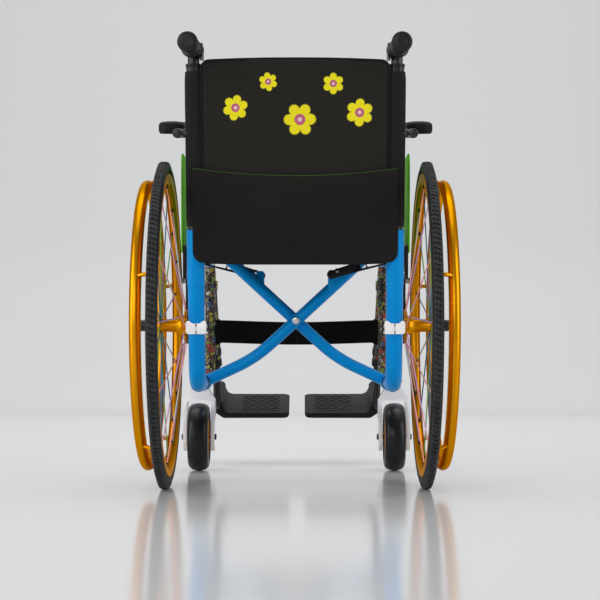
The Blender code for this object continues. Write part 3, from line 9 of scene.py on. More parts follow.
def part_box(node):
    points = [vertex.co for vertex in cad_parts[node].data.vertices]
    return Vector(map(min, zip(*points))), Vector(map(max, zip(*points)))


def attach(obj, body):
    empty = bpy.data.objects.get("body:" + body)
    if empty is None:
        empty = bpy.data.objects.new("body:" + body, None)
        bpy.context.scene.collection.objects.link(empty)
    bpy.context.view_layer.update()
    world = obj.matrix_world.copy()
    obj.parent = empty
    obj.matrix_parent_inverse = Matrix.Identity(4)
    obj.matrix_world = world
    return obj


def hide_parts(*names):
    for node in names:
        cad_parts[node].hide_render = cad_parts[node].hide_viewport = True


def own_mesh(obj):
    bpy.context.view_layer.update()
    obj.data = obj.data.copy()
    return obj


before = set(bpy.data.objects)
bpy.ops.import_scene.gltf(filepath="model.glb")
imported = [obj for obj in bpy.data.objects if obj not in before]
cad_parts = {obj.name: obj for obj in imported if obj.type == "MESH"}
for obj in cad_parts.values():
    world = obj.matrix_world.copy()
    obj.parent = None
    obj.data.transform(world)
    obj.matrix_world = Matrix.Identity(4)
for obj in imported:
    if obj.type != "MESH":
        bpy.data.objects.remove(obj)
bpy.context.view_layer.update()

print("stage 1: packed model loaded")

tyreLow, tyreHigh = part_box("left_rear_tyre")
chair = {
    "axleY": (tyreLow[1] + tyreHigh[1]) / 2,  # everything below is measured from the rear axle
    "axleZ": 0.295,
    "railX": 0.177,
    "lean": math.radians(10.0),
}
sides = (("left", -1), ("right", 1))


def yAt(y):
    return y + chair["axleY"]


def at(x, y, z):
    return Vector((x, yAt(y), z))


def leanY(z):
    return -0.031 - (z - chair["axleZ"]) * math.tan(chair["lean"])


def onCane(side, z, ahead=0.0):
    return at(side * chair["railX"], leanY(z) + ahead, z)


upLean = Vector((0, -math.sin(chair["lean"]), math.cos(chair["lean"])))


def angles(count):
    return [2 * math.pi * k / count for k in range(count)]


def shares(count):
    return [k / count for k in range(count + 1)]


# Node helpers and the groups that several finishes share; all lengths are in metres
def feed(tree, socket, value):  # a socket is linked, or takes a number, vector or colour
    if isinstance(value, bpy.types.NodeSocket):
        tree.links.new(value, socket)
    elif socket.type == "RGBA":
        socket.default_value = (*value, 1)
    else:
        socket.default_value = value


def addNode(tree, kind, *values, **more):
    # values go to the inputs in order, what starts with in_ to named ones, the rest to the node
    made = tree.nodes.new(kind)
    for key in [key for key in more if not key.startswith("in_")]:
        setattr(made, key, more.pop(key))
    named = [(key[3:].replace("_", " "), value) for key, value in more.items()]
    for socket, value in [*enumerate(values), *named]:
        if value is not None:
            feed(tree, made.inputs[socket], value)
    return made


def newGroup(name, inputs, outputs, kind="Shader"):
    # an input is given by its socket's kind, or by the number that it starts with
    tree = bpy.data.node_groups.new(name, kind + "NodeTree")
    names = {}
    for label, value in inputs.items():
        form = value if isinstance(value, str) else {int: "Int", float: "Float"}[type(value)]
        socket = tree.interface.new_socket(label, in_out="INPUT", socket_type="NodeSocket" + form)
        names[label] = socket.identifier
        if form != value:
            socket.default_value = value
    for label in outputs:
        form = "Geometry" if label == "Geometry" else "Float"
        tree.interface.new_socket(label, in_out="OUTPUT", socket_type="NodeSocket" + form)
    given = tree.nodes.new("NodeGroupInput").outputs
    return tree, given, tree.nodes.new("NodeGroupOutput").inputs, names


def placeGroup(tree, group, **values):
    made = tree.nodes.new("ShaderNodeGroup")
    made.node_tree = group
    for key, value in values.items():
        made.inputs[key.replace("_", " ")].default_value = value
    return made.outputs


def calc(tree, operation, *values):
    return addNode(tree, "ShaderNodeMath", *values, operation=operation).outputs[0]


def spanOf(tree, value, low=0.0, high=1.0, fromLow=0.0, fromHigh=1.0):
    return addNode(tree, "ShaderNodeMapRange", value, fromLow, fromHigh, low, high,
        clamp=True).outputs[0]


def placeOn(tree):
    return addNode(tree, "ShaderNodeTexCoord").outputs["Object"]


def noiseOn(tree, scale, detail, place=None):
    return addNode(tree, "ShaderNodeTexNoise", in_Vector=place or placeOn(tree), in_Scale=scale,
        in_Detail=detail).outputs


def makeGrainGroup():  # fine moulded or sprayed texture
    tree, given, out, _ = newGroup("surfaceGrain", {"Scale": 900.0, "Detail": 3.0},
        ("Height", "Mottle"))
    feed(tree, out["Height"], noiseOn(tree, given["Scale"], given["Detail"])["Fac"])
    feed(tree, out["Mottle"], noiseOn(tree, 14.0, 4.0)["Fac"])
    return tree


def makeWearGroup():  # worn where an edge stands proud, broken up by noise
    tree, given, out, _ = newGroup("edgeWear", {"Sharpness": 0.56, "Patchiness": 60.0}, ("Mask",))
    form = addNode(tree, "ShaderNodeNewGeometry").outputs["Pointiness"]
    high = calc(tree, "ADD", given["Sharpness"], 0.05)
    edge = spanOf(tree, form, 0.0, 1.0, given["Sharpness"], high)
    broken = spanOf(tree, noiseOn(tree, given["Patchiness"], 5.0)["Fac"], 0.0, 1.0, 0.45, 0.62)
    feed(tree, out["Mask"], calc(tree, "MULTIPLY", edge, broken))
    return tree


def makeDustGroup():  # thin dust on what faces up
    tree, given, out, _ = newGroup("settledDust", {"Amount": 0.12}, ("Mask",))
    form = addNode(tree, "ShaderNodeNewGeometry").outputs["Normal"]
    facing = spanOf(tree, addNode(tree, "ShaderNodeSeparateXYZ", form).outputs["Z"], 0.0, 1.0, 0.2, 1.0)
    patchy = spanOf(tree, noiseOn(tree, 45.0, 6.0)["Fac"], 0.0, 1.0, 0.35, 0.75)
    feed(tree, out["Mask"], calc(tree, "MULTIPLY", calc(tree, "MULTIPLY", facing, patchy),
        given["Amount"]))
    return tree


def makeWeaveGroup():  # spacer mesh: threads crossing at 45 degrees with openings between
    tree, given, out, _ = newGroup("spacerMesh", {"Pitch": 0.0042, "Hole": 0.3, "Level": 0.0},
        ("Holes", "Height"))
    do = partial(calc, tree)
    x, y, z = addNode(tree, "ShaderNodeSeparateXYZ", placeOn(tree)).outputs
    upright = do("ADD", z, do("MULTIPLY", do("SUBTRACT", y, z), given["Level"]))
    ways = []
    for way in ("ADD", "SUBTRACT"):
        line = do("DIVIDE", do(way, x, upright), given["Pitch"])
        ways.append(do("ABSOLUTE", do("SUBTRACT", do("FRACT", line), 0.5)))
    edge = addNode(tree, "ShaderNodeMapRange", do("MAXIMUM", *ways), do("SUBTRACT", given["Hole"], 0.1),
        given["Hole"], clamp=True, interpolation_type="SMOOTHSTEP").outputs[0]
    feed(tree, out["Holes"], do("SUBTRACT", 1.0, edge))
    feed(tree, out["Height"], edge)
    return tree


def makeBlossomGroup():  # a six-petalled blossom printed flat in the plane of X and Z
    tree, given, out, _ = newGroup("printedBlossom", {"Centre X": 0.0, "Centre Z": 0.0, "Size": 0.03,
        "Turn": 0.0}, ("Rim", "Fill", "Heart", "Eye"))
    do = partial(calc, tree)
    place = addNode(tree, "ShaderNodeTexCoord").outputs
    x, _, z = addNode(tree, "ShaderNodeSeparateXYZ", place["Object"]).outputs
    dx = do("DIVIDE", do("SUBTRACT", x, given["Centre X"]), given["Size"])
    dz = do("DIVIDE", do("SUBTRACT", z, given["Centre Z"]), given["Size"])
    far = do("SQRT", do("ADD", do("MULTIPLY", dx, dx), do("MULTIPLY", dz, dz)))
    angle = do("ADD", do("ARCTAN2", dz, dx), given["Turn"])
    petals = do("POWER", do("ABSOLUTE", do("SINE", do("MULTIPLY", angle, 3.0))), 0.6)
    facing = addNode(tree, "ShaderNodeSeparateXYZ", place["Normal"]).outputs["Y"]
    rear = do("LESS_THAN", facing, -0.2)  # only the cloth's rear face is printed
    far = do("ADD", far, do("MULTIPLY", do("SUBTRACT", 1.0, rear), 5.0))
    inside = do("SUBTRACT", do("ADD", 0.62, do("MULTIPLY", petals, 0.38)), far)
    masks = {"Rim": inside, "Fill": do("SUBTRACT", inside, 0.055), "Heart": do("SUBTRACT", 0.33, far),
        "Eye": do("SUBTRACT", 0.13, far)}
    for label, value in masks.items():
        feed(tree, out[label], spanOf(tree, value, 0.0, 1.0, -0.012, 0.012))
    return tree


grainGroup = makeGrainGroup()
blossomGroup = makeBlossomGroup()
wearGroup = makeWearGroup()
dustGroup = makeDustGroup()
meshGroup = makeWeaveGroup()


def newFinish(name, colour, roughness, metallic=0.0, **sockets):
    made = bpy.data.materials.new(name)
    made.use_nodes = True
    tree = made.node_tree
    shader = tree.nodes["Principled BSDF"]
    for key, value in (("Base Color", colour), ("Roughness", roughness), ("Metallic", metallic),
            *sockets.items()):
        feed(tree, shader.inputs[key.replace("_", " ")], value)
    return made, tree, shader


def mixColour(tree, mask, first, second):
    mix = addNode(tree, "ShaderNodeMix", mask, data_type="RGBA")
    feed(tree, mix.inputs[6], first)
    feed(tree, mix.inputs[7], second)
    return mix.outputs[2]


def dress(tree, shader, body, *layers, roughness=None):  # layers are (mask, colour), from below
    for mask, colour in layers:
        body = mixColour(tree, mask, body, colour)
    feed(tree, shader.inputs["Base Color"], body)
    if roughness is not None:
        feed(tree, shader.inputs["Roughness"], roughness)


def addBump(tree, shader, height, distance, strength=1.0):
    bump = addNode(tree, "ShaderNodeBump", in_Strength=strength, in_Distance=distance, in_Height=height)
    feed(tree, shader.inputs["Normal"], bump.outputs[0])


# Lacquer over metal: small flakes, soft mottle, worn edges
def makeLacquer(name, colour, deep, roughness, metallic, wearColour, tint=(1, 1, 1), coat=0.6,
        flake=0.15):
    made, tree, shader = newFinish(name, colour, roughness, metallic, Coat_Weight=coat,
        Coat_Roughness=0.1, Specular_IOR_Level=0.4, Specular_Tint=tint)
    grain = placeGroup(tree, grainGroup, Scale=2200.0)
    wear = placeGroup(tree, wearGroup)
    dust = placeGroup(tree, dustGroup, Amount=0.1)
    sparkle = spanOf(tree, grain["Height"], 0.0, flake, 0.45, 0.75)
    dress(tree, shader, deep, (grain["Mottle"], colour), (sparkle,
        tuple(min(1.0, c * 1.5 + 0.05) for c in colour)), (wear["Mask"], wearColour),
        (dust["Mask"], (0.55, 0.53, 0.5)), roughness=spanOf(tree, grain["Mottle"], roughness * 0.8,
        roughness * 1.25))
    addBump(tree, shader, grain["Mottle"], 0.0002, 0.15)
    return made


def makePlastic(name, colour, pale, roughness, grainScale=1500.0, depth=0.00012, dustAmount=0.04,
        shine=0.28):
    made, tree, shader = newFinish(name, colour, roughness, Specular_IOR_Level=shine)
    grain = placeGroup(tree, grainGroup, Scale=grainScale)
    wear = placeGroup(tree, wearGroup, Sharpness=0.57)
    dust = placeGroup(tree, dustGroup, Amount=dustAmount)
    dress(tree, shader, colour, (grain["Mottle"], pale), (wear["Mask"],
        tuple(c * 1.8 + 0.004 for c in pale)), (dust["Mask"], (0.42, 0.4, 0.38)),
        roughness=spanOf(tree, grain["Mottle"], roughness * 0.85, roughness * 1.15))
    addBump(tree, shader, grain["Height"], depth, 0.5)
    return made


def makeMetal(name, colour, deep, roughness, wearColour, brushed=0.0, centre=None, edge=(1, 1, 1)):
    made, tree, shader = newFinish(name, colour, roughness, 1.0, Specular_Tint=edge)
    grain = placeGroup(tree, grainGroup, Scale=1400.0, Detail=3.0)
    wear = placeGroup(tree, wearGroup)
    dress(tree, shader, deep, (grain["Mottle"], colour), (wear["Mask"], wearColour),
        roughness=spanOf(tree, grain["Height"], roughness * 0.8, roughness * 1.3, 0.3, 0.7))
    if centre is None:
        addBump(tree, shader, grain["Height"], 0.00003, 0.1)
        return made
    shift = addNode(tree, "ShaderNodeMapping", placeOn(tree), (0, -centre.y, -centre.z))
    flat = addNode(tree, "ShaderNodeVectorMath", shift.outputs[0], (0, 1, 1), operation="MULTIPLY")
    far = addNode(tree, "ShaderNodeVectorMath", flat.outputs[0], operation="LENGTH")
    rings = addNode(tree, "ShaderNodeTexNoise", noise_dimensions="1D", in_Scale=2600.0,
                    in_W=far.outputs["Value"])  # turned rings about the axle
    addBump(tree, shader, rings.outputs["Fac"], 0.00002, brushed)
    return made


axleSpot = at(0, 0, chair["axleZ"])
goldEdge = (1.0, 0.66, 0.16)
blueLacquer = makeLacquer("blueLacquer", (0.0005, 0.285, 0.74), (0.0002, 0.245, 0.66), 0.3, 0.05,
    (0.01, 0.33, 0.72), (0.1, 0.6, 1.0), 0.05, 0.04)
whiteLacquer = makeLacquer("whiteLacquer", (0.96, 0.96, 0.96), (0.93, 0.93, 0.93), 0.28, 0.0,
    (0.86, 0.86, 0.86), flake=0.02)
blackLacquer = makeLacquer("blackLacquer", (0.006, 0.006, 0.0065), (0.004, 0.004, 0.0045), 0.36, 0.0,
    (0.1, 0.1, 0.1), coat=0.15, flake=0.03)
goldAnodised = makeMetal("goldAnodised", (0.72, 0.3, 0.006), (0.66, 0.265, 0.005), 0.3,
    (0.88, 0.5, 0.08), 0.15, axleSpot, goldEdge)
goldTurned = makeMetal("goldTurned", (0.68, 0.275, 0.006), (0.62, 0.24, 0.005), 0.32, (0.88, 0.5, 0.08),
    edge=goldEdge)
brightSteel = makeMetal("brightSteel", (0.7, 0.7, 0.72), (0.58, 0.58, 0.6), 0.22, (0.85, 0.85, 0.85))
darkSteel = makeMetal("darkSteel", (0.045, 0.045, 0.05), (0.03, 0.03, 0.033), 0.32, (0.3, 0.3, 0.3))
blackPlastic = makePlastic("blackPlastic", (0.0035, 0.0035, 0.004), (0.0065, 0.0065, 0.007), 0.42)
gripRubber = makePlastic("gripRubber", (0.005, 0.005, 0.005), (0.009, 0.009, 0.009), 0.38, 1900, 0.0002)
greenPlastic = makePlastic("greenPlastic", (0.12, 0.56, 0.002), (0.15, 0.62, 0.004), 0.6, 1200, 0.00008,
    0.01, 0.1)
treadPlastic = makePlastic("treadPlastic", (0.005, 0.005, 0.0053), (0.008, 0.008, 0.0084), 0.6, 1100,
    0.0003, 0.03, 0.24)
padSkin = makePlastic("padSkin", (0.0035, 0.0035, 0.0038), (0.006, 0.006, 0.0064), 0.52, 1300, 0.00025,
    shine=0.19)
tyreRubber = makePlastic("tyreRubber", (0.008, 0.009, 0.01), (0.013, 0.014, 0.015), 0.6, 700, 0.0003,
    0.02)
treadRubber = makePlastic("treadRubber", (0.019, 0.021, 0.0225), (0.029, 0.031, 0.033), 0.68, 700,
    0.0003, 0.06)
casterRubber = makePlastic("casterRubber", (0.004, 0.004, 0.0043), (0.007, 0.007, 0.0074), 0.3, 900,
    0.00015, 0.03)
print("stage 2: lacquers, metals, plastics and rubbers mixed")


# Pattern and cloth finishes
def makeMeshCloth(name, colour, thread, level=0.0, blossoms=()):
    # warp-knitted spacer fabric of the back and seat, printed with blossoms where they are given
    made, tree, shader = newFinish(name, colour, 0.85, Sheen_Weight=0.04, Sheen_Roughness=0.5,
        Specular_IOR_Level=0.18)
    weave = placeGroup(tree, meshGroup, Pitch=0.0064, Hole=0.42, Level=level)
    grain = placeGroup(tree, grainGroup, Scale=2600.0)
    dust = placeGroup(tree, dustGroup, Amount=0.03)
    # the mesh openings are darkened to a quarter of the cloth's colour: painted shade in the holes
    layers = [(grain["Mottle"], thread), (spanOf(tree, weave["Holes"], 0.0, 0.85),
        tuple(c * 0.25 for c in colour))]
    for x, z, size, turn in blossoms:
        printed = placeGroup(tree, blossomGroup, Centre_X=x, Centre_Z=z, Size=size, Turn=turn)
        layers += [(printed["Rim"], (0.22, 0.2, 0.02)), (printed["Fill"], (0.92, 0.8, 0.015)),
            (printed["Heart"], (0.55, 0.13, 0.21)), (printed["Eye"], (0.85, 0.62, 0.66))]
    dress(tree, shader, colour, *layers, (dust["Mask"], (0.2, 0.19, 0.18)))
    both = calc(tree, "MULTIPLY_ADD", grain["Height"], 0.25, weave["Height"])
    addBump(tree, shader, both, 0.001, 0.9)
    return made


def makeTape(name, colour, pale, ribs=1400.0, shine=0.2):  # woven webbing and binding tape
    made, tree, shader = newFinish(name, colour, 0.78, Sheen_Weight=0.03, Specular_IOR_Level=shine)
    turn = addNode(tree, "ShaderNodeMapping", placeOn(tree), in_Rotation=(0.0, math.radians(45), 0.0))
    rows = addNode(tree, "ShaderNodeTexWave", turn.outputs[0], in_Scale=ribs / 6.3, in_Distortion=0.8,
        bands_direction="X").outputs["Fac"]
    grain = placeGroup(tree, grainGroup, Scale=3000.0)
    dress(tree, shader, colour, (rows, pale), (grain["Mottle"], colour))
    addBump(tree, shader, calc(tree, "MULTIPLY_ADD", grain["Height"], 0.4, rows), 0.0004, 0.6)
    return made


def patchColours(tree, cells, *stops):  # one flat colour for each cell, by steps of its own value
    own = addNode(tree, "ShaderNodeSeparateColor", cells.outputs["Color"]).outputs
    ramp = addNode(tree, "ShaderNodeValToRGB", own[0])
    ramp.color_ramp.interpolation = "CONSTANT"
    steps = ramp.color_ramp.elements
    for index, (position, *colour) in enumerate(stops):
        step = steps[index] if index < 2 else steps.new(position)
        step.position, step.color = position, (*colour, 1)
    return own[1], ramp.outputs["Color"]


def makePatchwork(name):  # many small bright patches under clear lacquer
    made, tree, shader = newFinish(name, (0.4, 0.2, 0.1), 0.4, Coat_Weight=0.15, Specular_IOR_Level=0.3)
    place = placeOn(tree)
    push = addNode(tree, "ShaderNodeVectorMath", noiseOn(tree, 90.0, 2.0, place)["Color"],
        (0.008, 0.008, 0.008), place, operation="MULTIPLY_ADD").outputs[0]
    cells = addNode(tree, "ShaderNodeTexVoronoi", push, in_Scale=125.0)
    small = addNode(tree, "ShaderNodeTexVoronoi", push, in_Scale=420.0)
    edges = addNode(tree, "ShaderNodeTexVoronoi", push, in_Scale=125.0, feature="DISTANCE_TO_EDGE")
    choice, large = patchColours(tree, cells, (0.0, 0.01, 0.01, 0.01), (0.26, 0.36, 0.32, 0.03),
        (0.42, 0.34, 0.04, 0.02), (0.56, 0.42, 0.4, 0.32), (0.66, 0.14, 0.24, 0.03),
        (0.78, 0.24, 0.13, 0.17), (0.88, 0.05, 0.11, 0.2))
    _, fine = patchColours(tree, small, (0.0, 0.01, 0.01, 0.01), (0.46, 0.4, 0.37, 0.29),
        (0.64, 0.36, 0.15, 0.02), (0.8, 0.01, 0.01, 0.01))
    dress(tree, shader, large, (spanOf(tree, choice, 0.0, 1.0, 0.62, 0.66), fine),
        (spanOf(tree, edges.outputs["Distance"], 1.0, 0.0, 0.05, 0.11), (0.015, 0.015, 0.015)))
    addBump(tree, shader, placeGroup(tree, grainGroup, Scale=900.0)["Height"], 0.0001, 0.2)
    return made


def makeSpokeFinish(name, colour):
    made, tree, shader = newFinish(name, colour, 0.32, 0.6, Coat_Weight=0.2)
    shade = spanOf(tree, noiseOn(tree, 9.0, 2.0)["Fac"], 0.0, 1.0, 0.54, 0.7)
    dress(tree, shader, colour, (shade, (colour[2], colour[0] * 0.6 + 0.1, colour[1] * 0.5 + 0.4)))
    addBump(tree, shader, placeGroup(tree, grainGroup, Scale=1800.0)["Height"], 0.00005, 0.3)
    return made


blossoms = ((-0.104, 0.672, 0.0225, 0.2), (-0.047, 0.716, 0.0165, 0.9), (0.008, 0.652, 0.029, 0.5),
    (0.066, 0.713, 0.019, 0.0), (0.112, 0.664, 0.0245, 1.1))
backCloth = makeMeshCloth("backCloth", (0.0225, 0.0205, 0.0165), (0.0285, 0.0262, 0.0212), 0, blossoms)
flapCloth = makeMeshCloth("flapCloth", (0.015, 0.0136, 0.0116), (0.02, 0.0184, 0.0158))
seatCloth = makeMeshCloth("seatCloth", (0.0125, 0.012, 0.0115), (0.02, 0.019, 0.018), 1.0)
sleeveCloth = makeTape("sleeveCloth", (0.0085, 0.0085, 0.0085), (0.016, 0.0155, 0.015), 2400.0)
sideCloth = makeTape("sideCloth", (0.01, 0.01, 0.01), (0.02, 0.019, 0.018), 2600.0)
bindingTape = makeTape("bindingTape", (0.006, 0.006, 0.006), (0.012, 0.0115, 0.011))
strapWeb = makeTape("strapWeb", (0.001, 0.001, 0.001), (0.0022, 0.0022, 0.0022), 1700.0, 0.1)
greenThread = makeTape("greenThread", (0.1, 0.38, 0.02), (0.2, 0.6, 0.05), 3000.0)
blackThread = makeTape("blackThread", (0.012, 0.012, 0.012), (0.028, 0.028, 0.028), 3000.0)
patchwork = makePatchwork("patchwork")
spokeFinishes = [makeSpokeFinish("spokePink", (0.86, 0.36, 0.27)),
    makeSpokeFinish("spokeViolet", (0.62, 0.3, 0.5)), makeSpokeFinish("spokeBlue", (0.02, 0.14, 0.24)),
    makeSpokeFinish("spokeGreen", (0.16, 0.38, 0.06))]
print("stage 3: cloth, webbing, patchwork and spoke finishes mixed")


# Mesh helpers
def linkPiece(name, data):
    made = bpy.data.objects.new(name, data)
    bpy.context.scene.collection.objects.link(made)
    return made


def meshPiece(name, bm, outward=True):
    if outward:
        bmesh.ops.recalc_face_normals(bm, faces=bm.faces)
    mesh = bpy.data.meshes.new(name)
    bm.to_mesh(mesh)
    bm.free()
    return linkPiece(name, mesh)


def settle(piece):  # live modifiers become a plain mesh
    bpy.context.view_layer.update()
    graph = bpy.context.evaluated_depsgraph_get()
    mesh = bpy.data.meshes.new_from_object(piece.evaluated_get(graph))
    old = piece.data
    piece.modifiers.clear()
    if piece.type == "MESH":
        piece.data = mesh
        bpy.data.meshes.remove(old)
        return piece
    name = piece.name
    bpy.data.objects.remove(piece)
    return linkPiece(name, mesh)


def shade(made, smooth):
    made.data.shade_smooth()
    made.data.set_sharp_from_angle(angle=math.radians(smooth))


def piece(name, bm, finishes, body, stands=(), slot=None, smooth=35, bevel=0.0, steps=2, cuts=(),
        keep=None, levels=0, crisp=38, tilt=None):
    bmesh.ops.remove_doubles(bm, verts=bm.verts, dist=1e-6)
    made = meshPiece(name, bm)
    for finish in finishes if isinstance(finishes, (list, tuple)) else [finishes]:
        made.data.materials.append(finish)
    tools = [("DIFFERENCE", cutter) for cutter in cuts] + ([("INTERSECT", keep)] if keep else [])
    for index, (operation, tool) in enumerate(tools):
        step = made.modifiers.new("cut", "BOOLEAN")
        step.operation, step.solver = operation, "EXACT"
        step.object = tools[index] = meshPiece(f"{name}Tool{index}", tool)
    if bevel:
        edge = made.modifiers.new("edge", "BEVEL")
        edge.width, edge.segments, edge.limit_method = bevel, steps, "ANGLE"
        edge.angle_limit = math.radians(crisp)
    if levels:
        finer = made.modifiers.new("finer", "SUBSURF")
        finer.levels = finer.render_levels = levels
    if made.modifiers:
        settle(made)
    for tool in tools:
        bpy.data.objects.remove(tool)
    if tilt:  # (angle, pivot): turned on a line along X through the pivot
        there = Matrix.Translation(tilt[1])
        made.data.transform(there @ Matrix.Rotation(tilt[0], 4, "X") @ there.inverted())
    shade(made, smooth)
    if body:
        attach(made, body)
    if stands:
        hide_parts(*([stands] if isinstance(stands, str) else stands))
    return made


def loft(bm, rings, finish=0, caps=True):  # closed rings of vertices joined one to the next
    made = []
    for one, other in zip(rings, rings[1:]):
        corners = list(zip(one, one[1:] + one[:1], other[1:] + other[:1], other))
        made += [bm.faces.new(quad) for quad in corners]
    if caps:
        made += [bm.faces.new(rings[0]), bm.faces.new(rings[-1])]
    for face in made:
        face.material_index = finish
    return bm


def filleted(points, radius, steps=8):  # a polyline with its inner corners turned into arcs
    points = [Vector(p) for p in points]
    path = [points[0]]
    for before, corner, after in zip(points, points[1:], points[2:]):
        back = (before - corner).normalized()
        on = (after - corner).normalized()
        half = math.acos(max(-1, min(1, back.dot(on)))) / 2
        centre = corner + (back + on).normalized() * (radius / math.sin(half))
        start = corner + back * (radius / math.tan(half)) - centre
        end = corner + on * (radius / math.tan(half)) - centre
        turn = start.angle(end)
        for k in range(steps + 1):
            share = k / steps
            path.append(centre + start * (math.sin((1 - share) * turn) / math.sin(turn)) + end
                * (math.sin(share * turn) / math.sin(turn)))
    path.append(points[-1])
    return path


def addTube(bm, points, radius, sideCount=32, flat=1.0, up=(0, 0, 1), finish=0, caps=True):
    points = [Vector(p) for p in points]
    radii = radius if isinstance(radius, (list, tuple)) else [radius] * len(points)
    tangent = (points[1] - points[0]).normalized()
    for guide in (up, (0, 1, 0), (1, 0, 0)):
        aside = tangent.cross(Vector(guide))
        if aside.length >= 0.1:
            break
    aside.normalize()
    rings = []
    for i, point in enumerate(points):
        tangent = (points[min(i + 1, len(points) - 1)] - points[max(i - 1, 0)]).normalized()
        aside = (aside - tangent * aside.dot(tangent)).normalized()
        third = tangent.cross(aside) * flat
        rings.append([bm.verts.new(point + (aside * math.cos(turn) + third * math.sin(turn))
            * radii[i]) for turn in angles(sideCount)])
    return loft(bm, rings, finish, caps)


def tube(points, radius, **more):
    return addTube(bmesh.new(), points, radius, **more)


axisSets = {"X": (Vector((0, 1, 0)), Vector((0, 0, 1)), Vector((1, 0, 0))),
    "Y": (Vector((0, 0, 1)), Vector((1, 0, 0)), Vector((0, 1, 0))),
    "Z": (Vector((1, 0, 0)), Vector((0, 1, 0)), Vector((0, 0, 1)))}


def addTurned(bm, profile, centre, axis="X", segments=64, loop=False, finish=0, along=None):
    # a profile of (radius, place) turned about an axis; a radius of 0 closes it in a pole
    if along is None:
        first, second, along = axisSets[axis]
    else:
        along = Vector(along).normalized()
        first = along.cross(Vector((0, 0, 1)) if abs(along.z) < 0.9 else Vector((1, 0, 0)))
        first.normalize()
        second = along.cross(first)
    rounds = [first * math.cos(turn) + second * math.sin(turn) for turn in angles(segments)]
    rings = []
    for radius, place in profile:
        middle = Vector(centre) + along * place
        spots = [middle] if radius <= 1e-7 else [middle + way * radius for way in rounds]
        rings.append([bm.verts.new(spot) for spot in spots])
    for one, other in list(zip(rings, rings[1:])) + ([(rings[-1], rings[0])] if loop else []):
        for k in range(segments):
            quad = list(dict.fromkeys([one[k % len(one)], one[(k + 1) % len(one)],
                other[(k + 1) % len(other)], other[k % len(other)]]))
            if len(quad) > 2:
                bm.faces.new(quad).material_index = finish
    for ring in () if loop else (rings[0], rings[-1]):
        if len(ring) > 1:
            bm.faces.new(ring).material_index = finish
    return bm


def turned(profile, centre, axis="X", **more):
    return addTurned(bmesh.new(), profile, centre, axis, **more)


def addSlab(bm, outline, axis, low, high, finish=0):
    # outline points are (y, z) for X, (z, x) for Y and (x, y) for Z
    first, second, along = axisSets[axis]
    return loft(bm, [[bm.verts.new(first * a + second * b + along * place) for a, b in outline]
        for place in (low, high)], finish)


def slab(outline, axis, low, high, **more):
    return addSlab(bmesh.new(), outline, axis, low, high, **more)


def oblong(a, b, reachA, reachB):  # a rectangular outline about (a, b)
    return [(a - reachA, b - reachB), (a - reachA, b + reachB), (a + reachA, b + reachB),
        (a + reachA, b - reachB)]


def roundOff(outline, radius, steps=6):
    path = []
    radii = radius if isinstance(radius, (list, tuple)) else [radius] * len(outline)
    for i, reach in enumerate(radii):
        if reach <= 0:
            path.append(tuple(outline[i]))
            continue
        corner = [Vector((*outline[(i + step) % len(outline)], 0)) for step in (-1, 0, 1)]
        path += [(p.x, p.y) for p in filleted(corner, reach, steps)[1:-1]]
    return path


def yz(points):  # outlines are given from the axle, as (y, z)
    return [(yAt(y), z) for y, z in points]


def mirrored(half):  # a profile that goes on as its own mirror image
    return half + [(radius, -place) for radius, place in reversed(half)]


def spanned(side, inner, outer):
    return tuple(sorted((side * inner, side * outer)))


def addScrew(bm, spot, along, radius, height, finish=0, socket=True):
    # a button-head screw with a hexagon recess
    top = ((0.46, 1), (0.42, 0.35), (0, 0.35)) if socket else ((0.3, 1.08), (0, 1.1))
    cap = [(radius * r, height * h) for r, h in ((1, 0), (1, 0.25), (0.88, 0.75), (0.62, 1)) + top]
    addTurned(bm, [(radius, -0.0008)] + cap, spot, segments=18, finish=finish, along=along)


# Two trees of copies: along a line, each turned with it, and round an axis along X
def copyTree(name, inputs):  # what it returns puts the copies, and its points are still to be fed
    tree, given, out, names = newGroup(name, {**inputs, "Form": "Object", "Count": 12,
        "Finish": "Material"}, ("Geometry",), "Geometry")
    form = addNode(tree, "GeometryNodeObjectInfo", given["Form"]).outputs["Geometry"]
    put = addNode(tree, "GeometryNodeInstanceOnPoints", in_Instance=form)
    real = addNode(tree, "GeometryNodeRealizeInstances", put.outputs[0])
    if "Centre" in inputs:
        real = addNode(tree, "GeometryNodeTransform", real.outputs[0], in_Translation=given["Centre"])
    paint = addNode(tree, "GeometryNodeSetMaterial", real.outputs[0], in_Material=given["Finish"])
    feed(tree, out[0], paint.outputs[0])
    return tree, given, names, put.inputs


def makeAlongTree(name):
    tree, given, names, put = copyTree(name, {"Line": "Geometry", "Size Jitter": 0.0})
    spread = addNode(tree, "GeometryNodeCurveToPoints", given["Line"], in_Count=given["Count"],
        mode="COUNT").outputs
    low = calc(tree, "SUBTRACT", 1.0, given["Size Jitter"])
    vary = addNode(tree, "FunctionNodeRandomValue", None, None, low, 1.0, in_Seed=7)
    feed(tree, put["Points"], spread["Points"])
    feed(tree, put["Rotation"], spread["Rotation"])
    feed(tree, put["Scale"], vary.outputs[1])
    return tree, names


def makeAroundTree(name):
    tree, given, names, put = copyTree(name, {"Centre": "Vector"})
    line = addNode(tree, "GeometryNodeMeshLine", in_Count=given["Count"], in_Offset=(0, 0, 0))
    index = addNode(tree, "GeometryNodeInputIndex").outputs[0]
    angle = calc(tree, "MULTIPLY", calc(tree, "DIVIDE", index, given["Count"]), 2 * math.pi)
    euler = addNode(tree, "ShaderNodeCombineXYZ", angle).outputs[0]
    feed(tree, put["Points"], line.outputs[0])
    feed(tree, put["Rotation"], addNode(tree, "FunctionNodeEulerToRotation", euler).outputs[0])
    return tree, names


copyTrees = {"along": makeAlongTree("copiesAlongLine"), "around": makeAroundTree("copiesRoundAxle")}


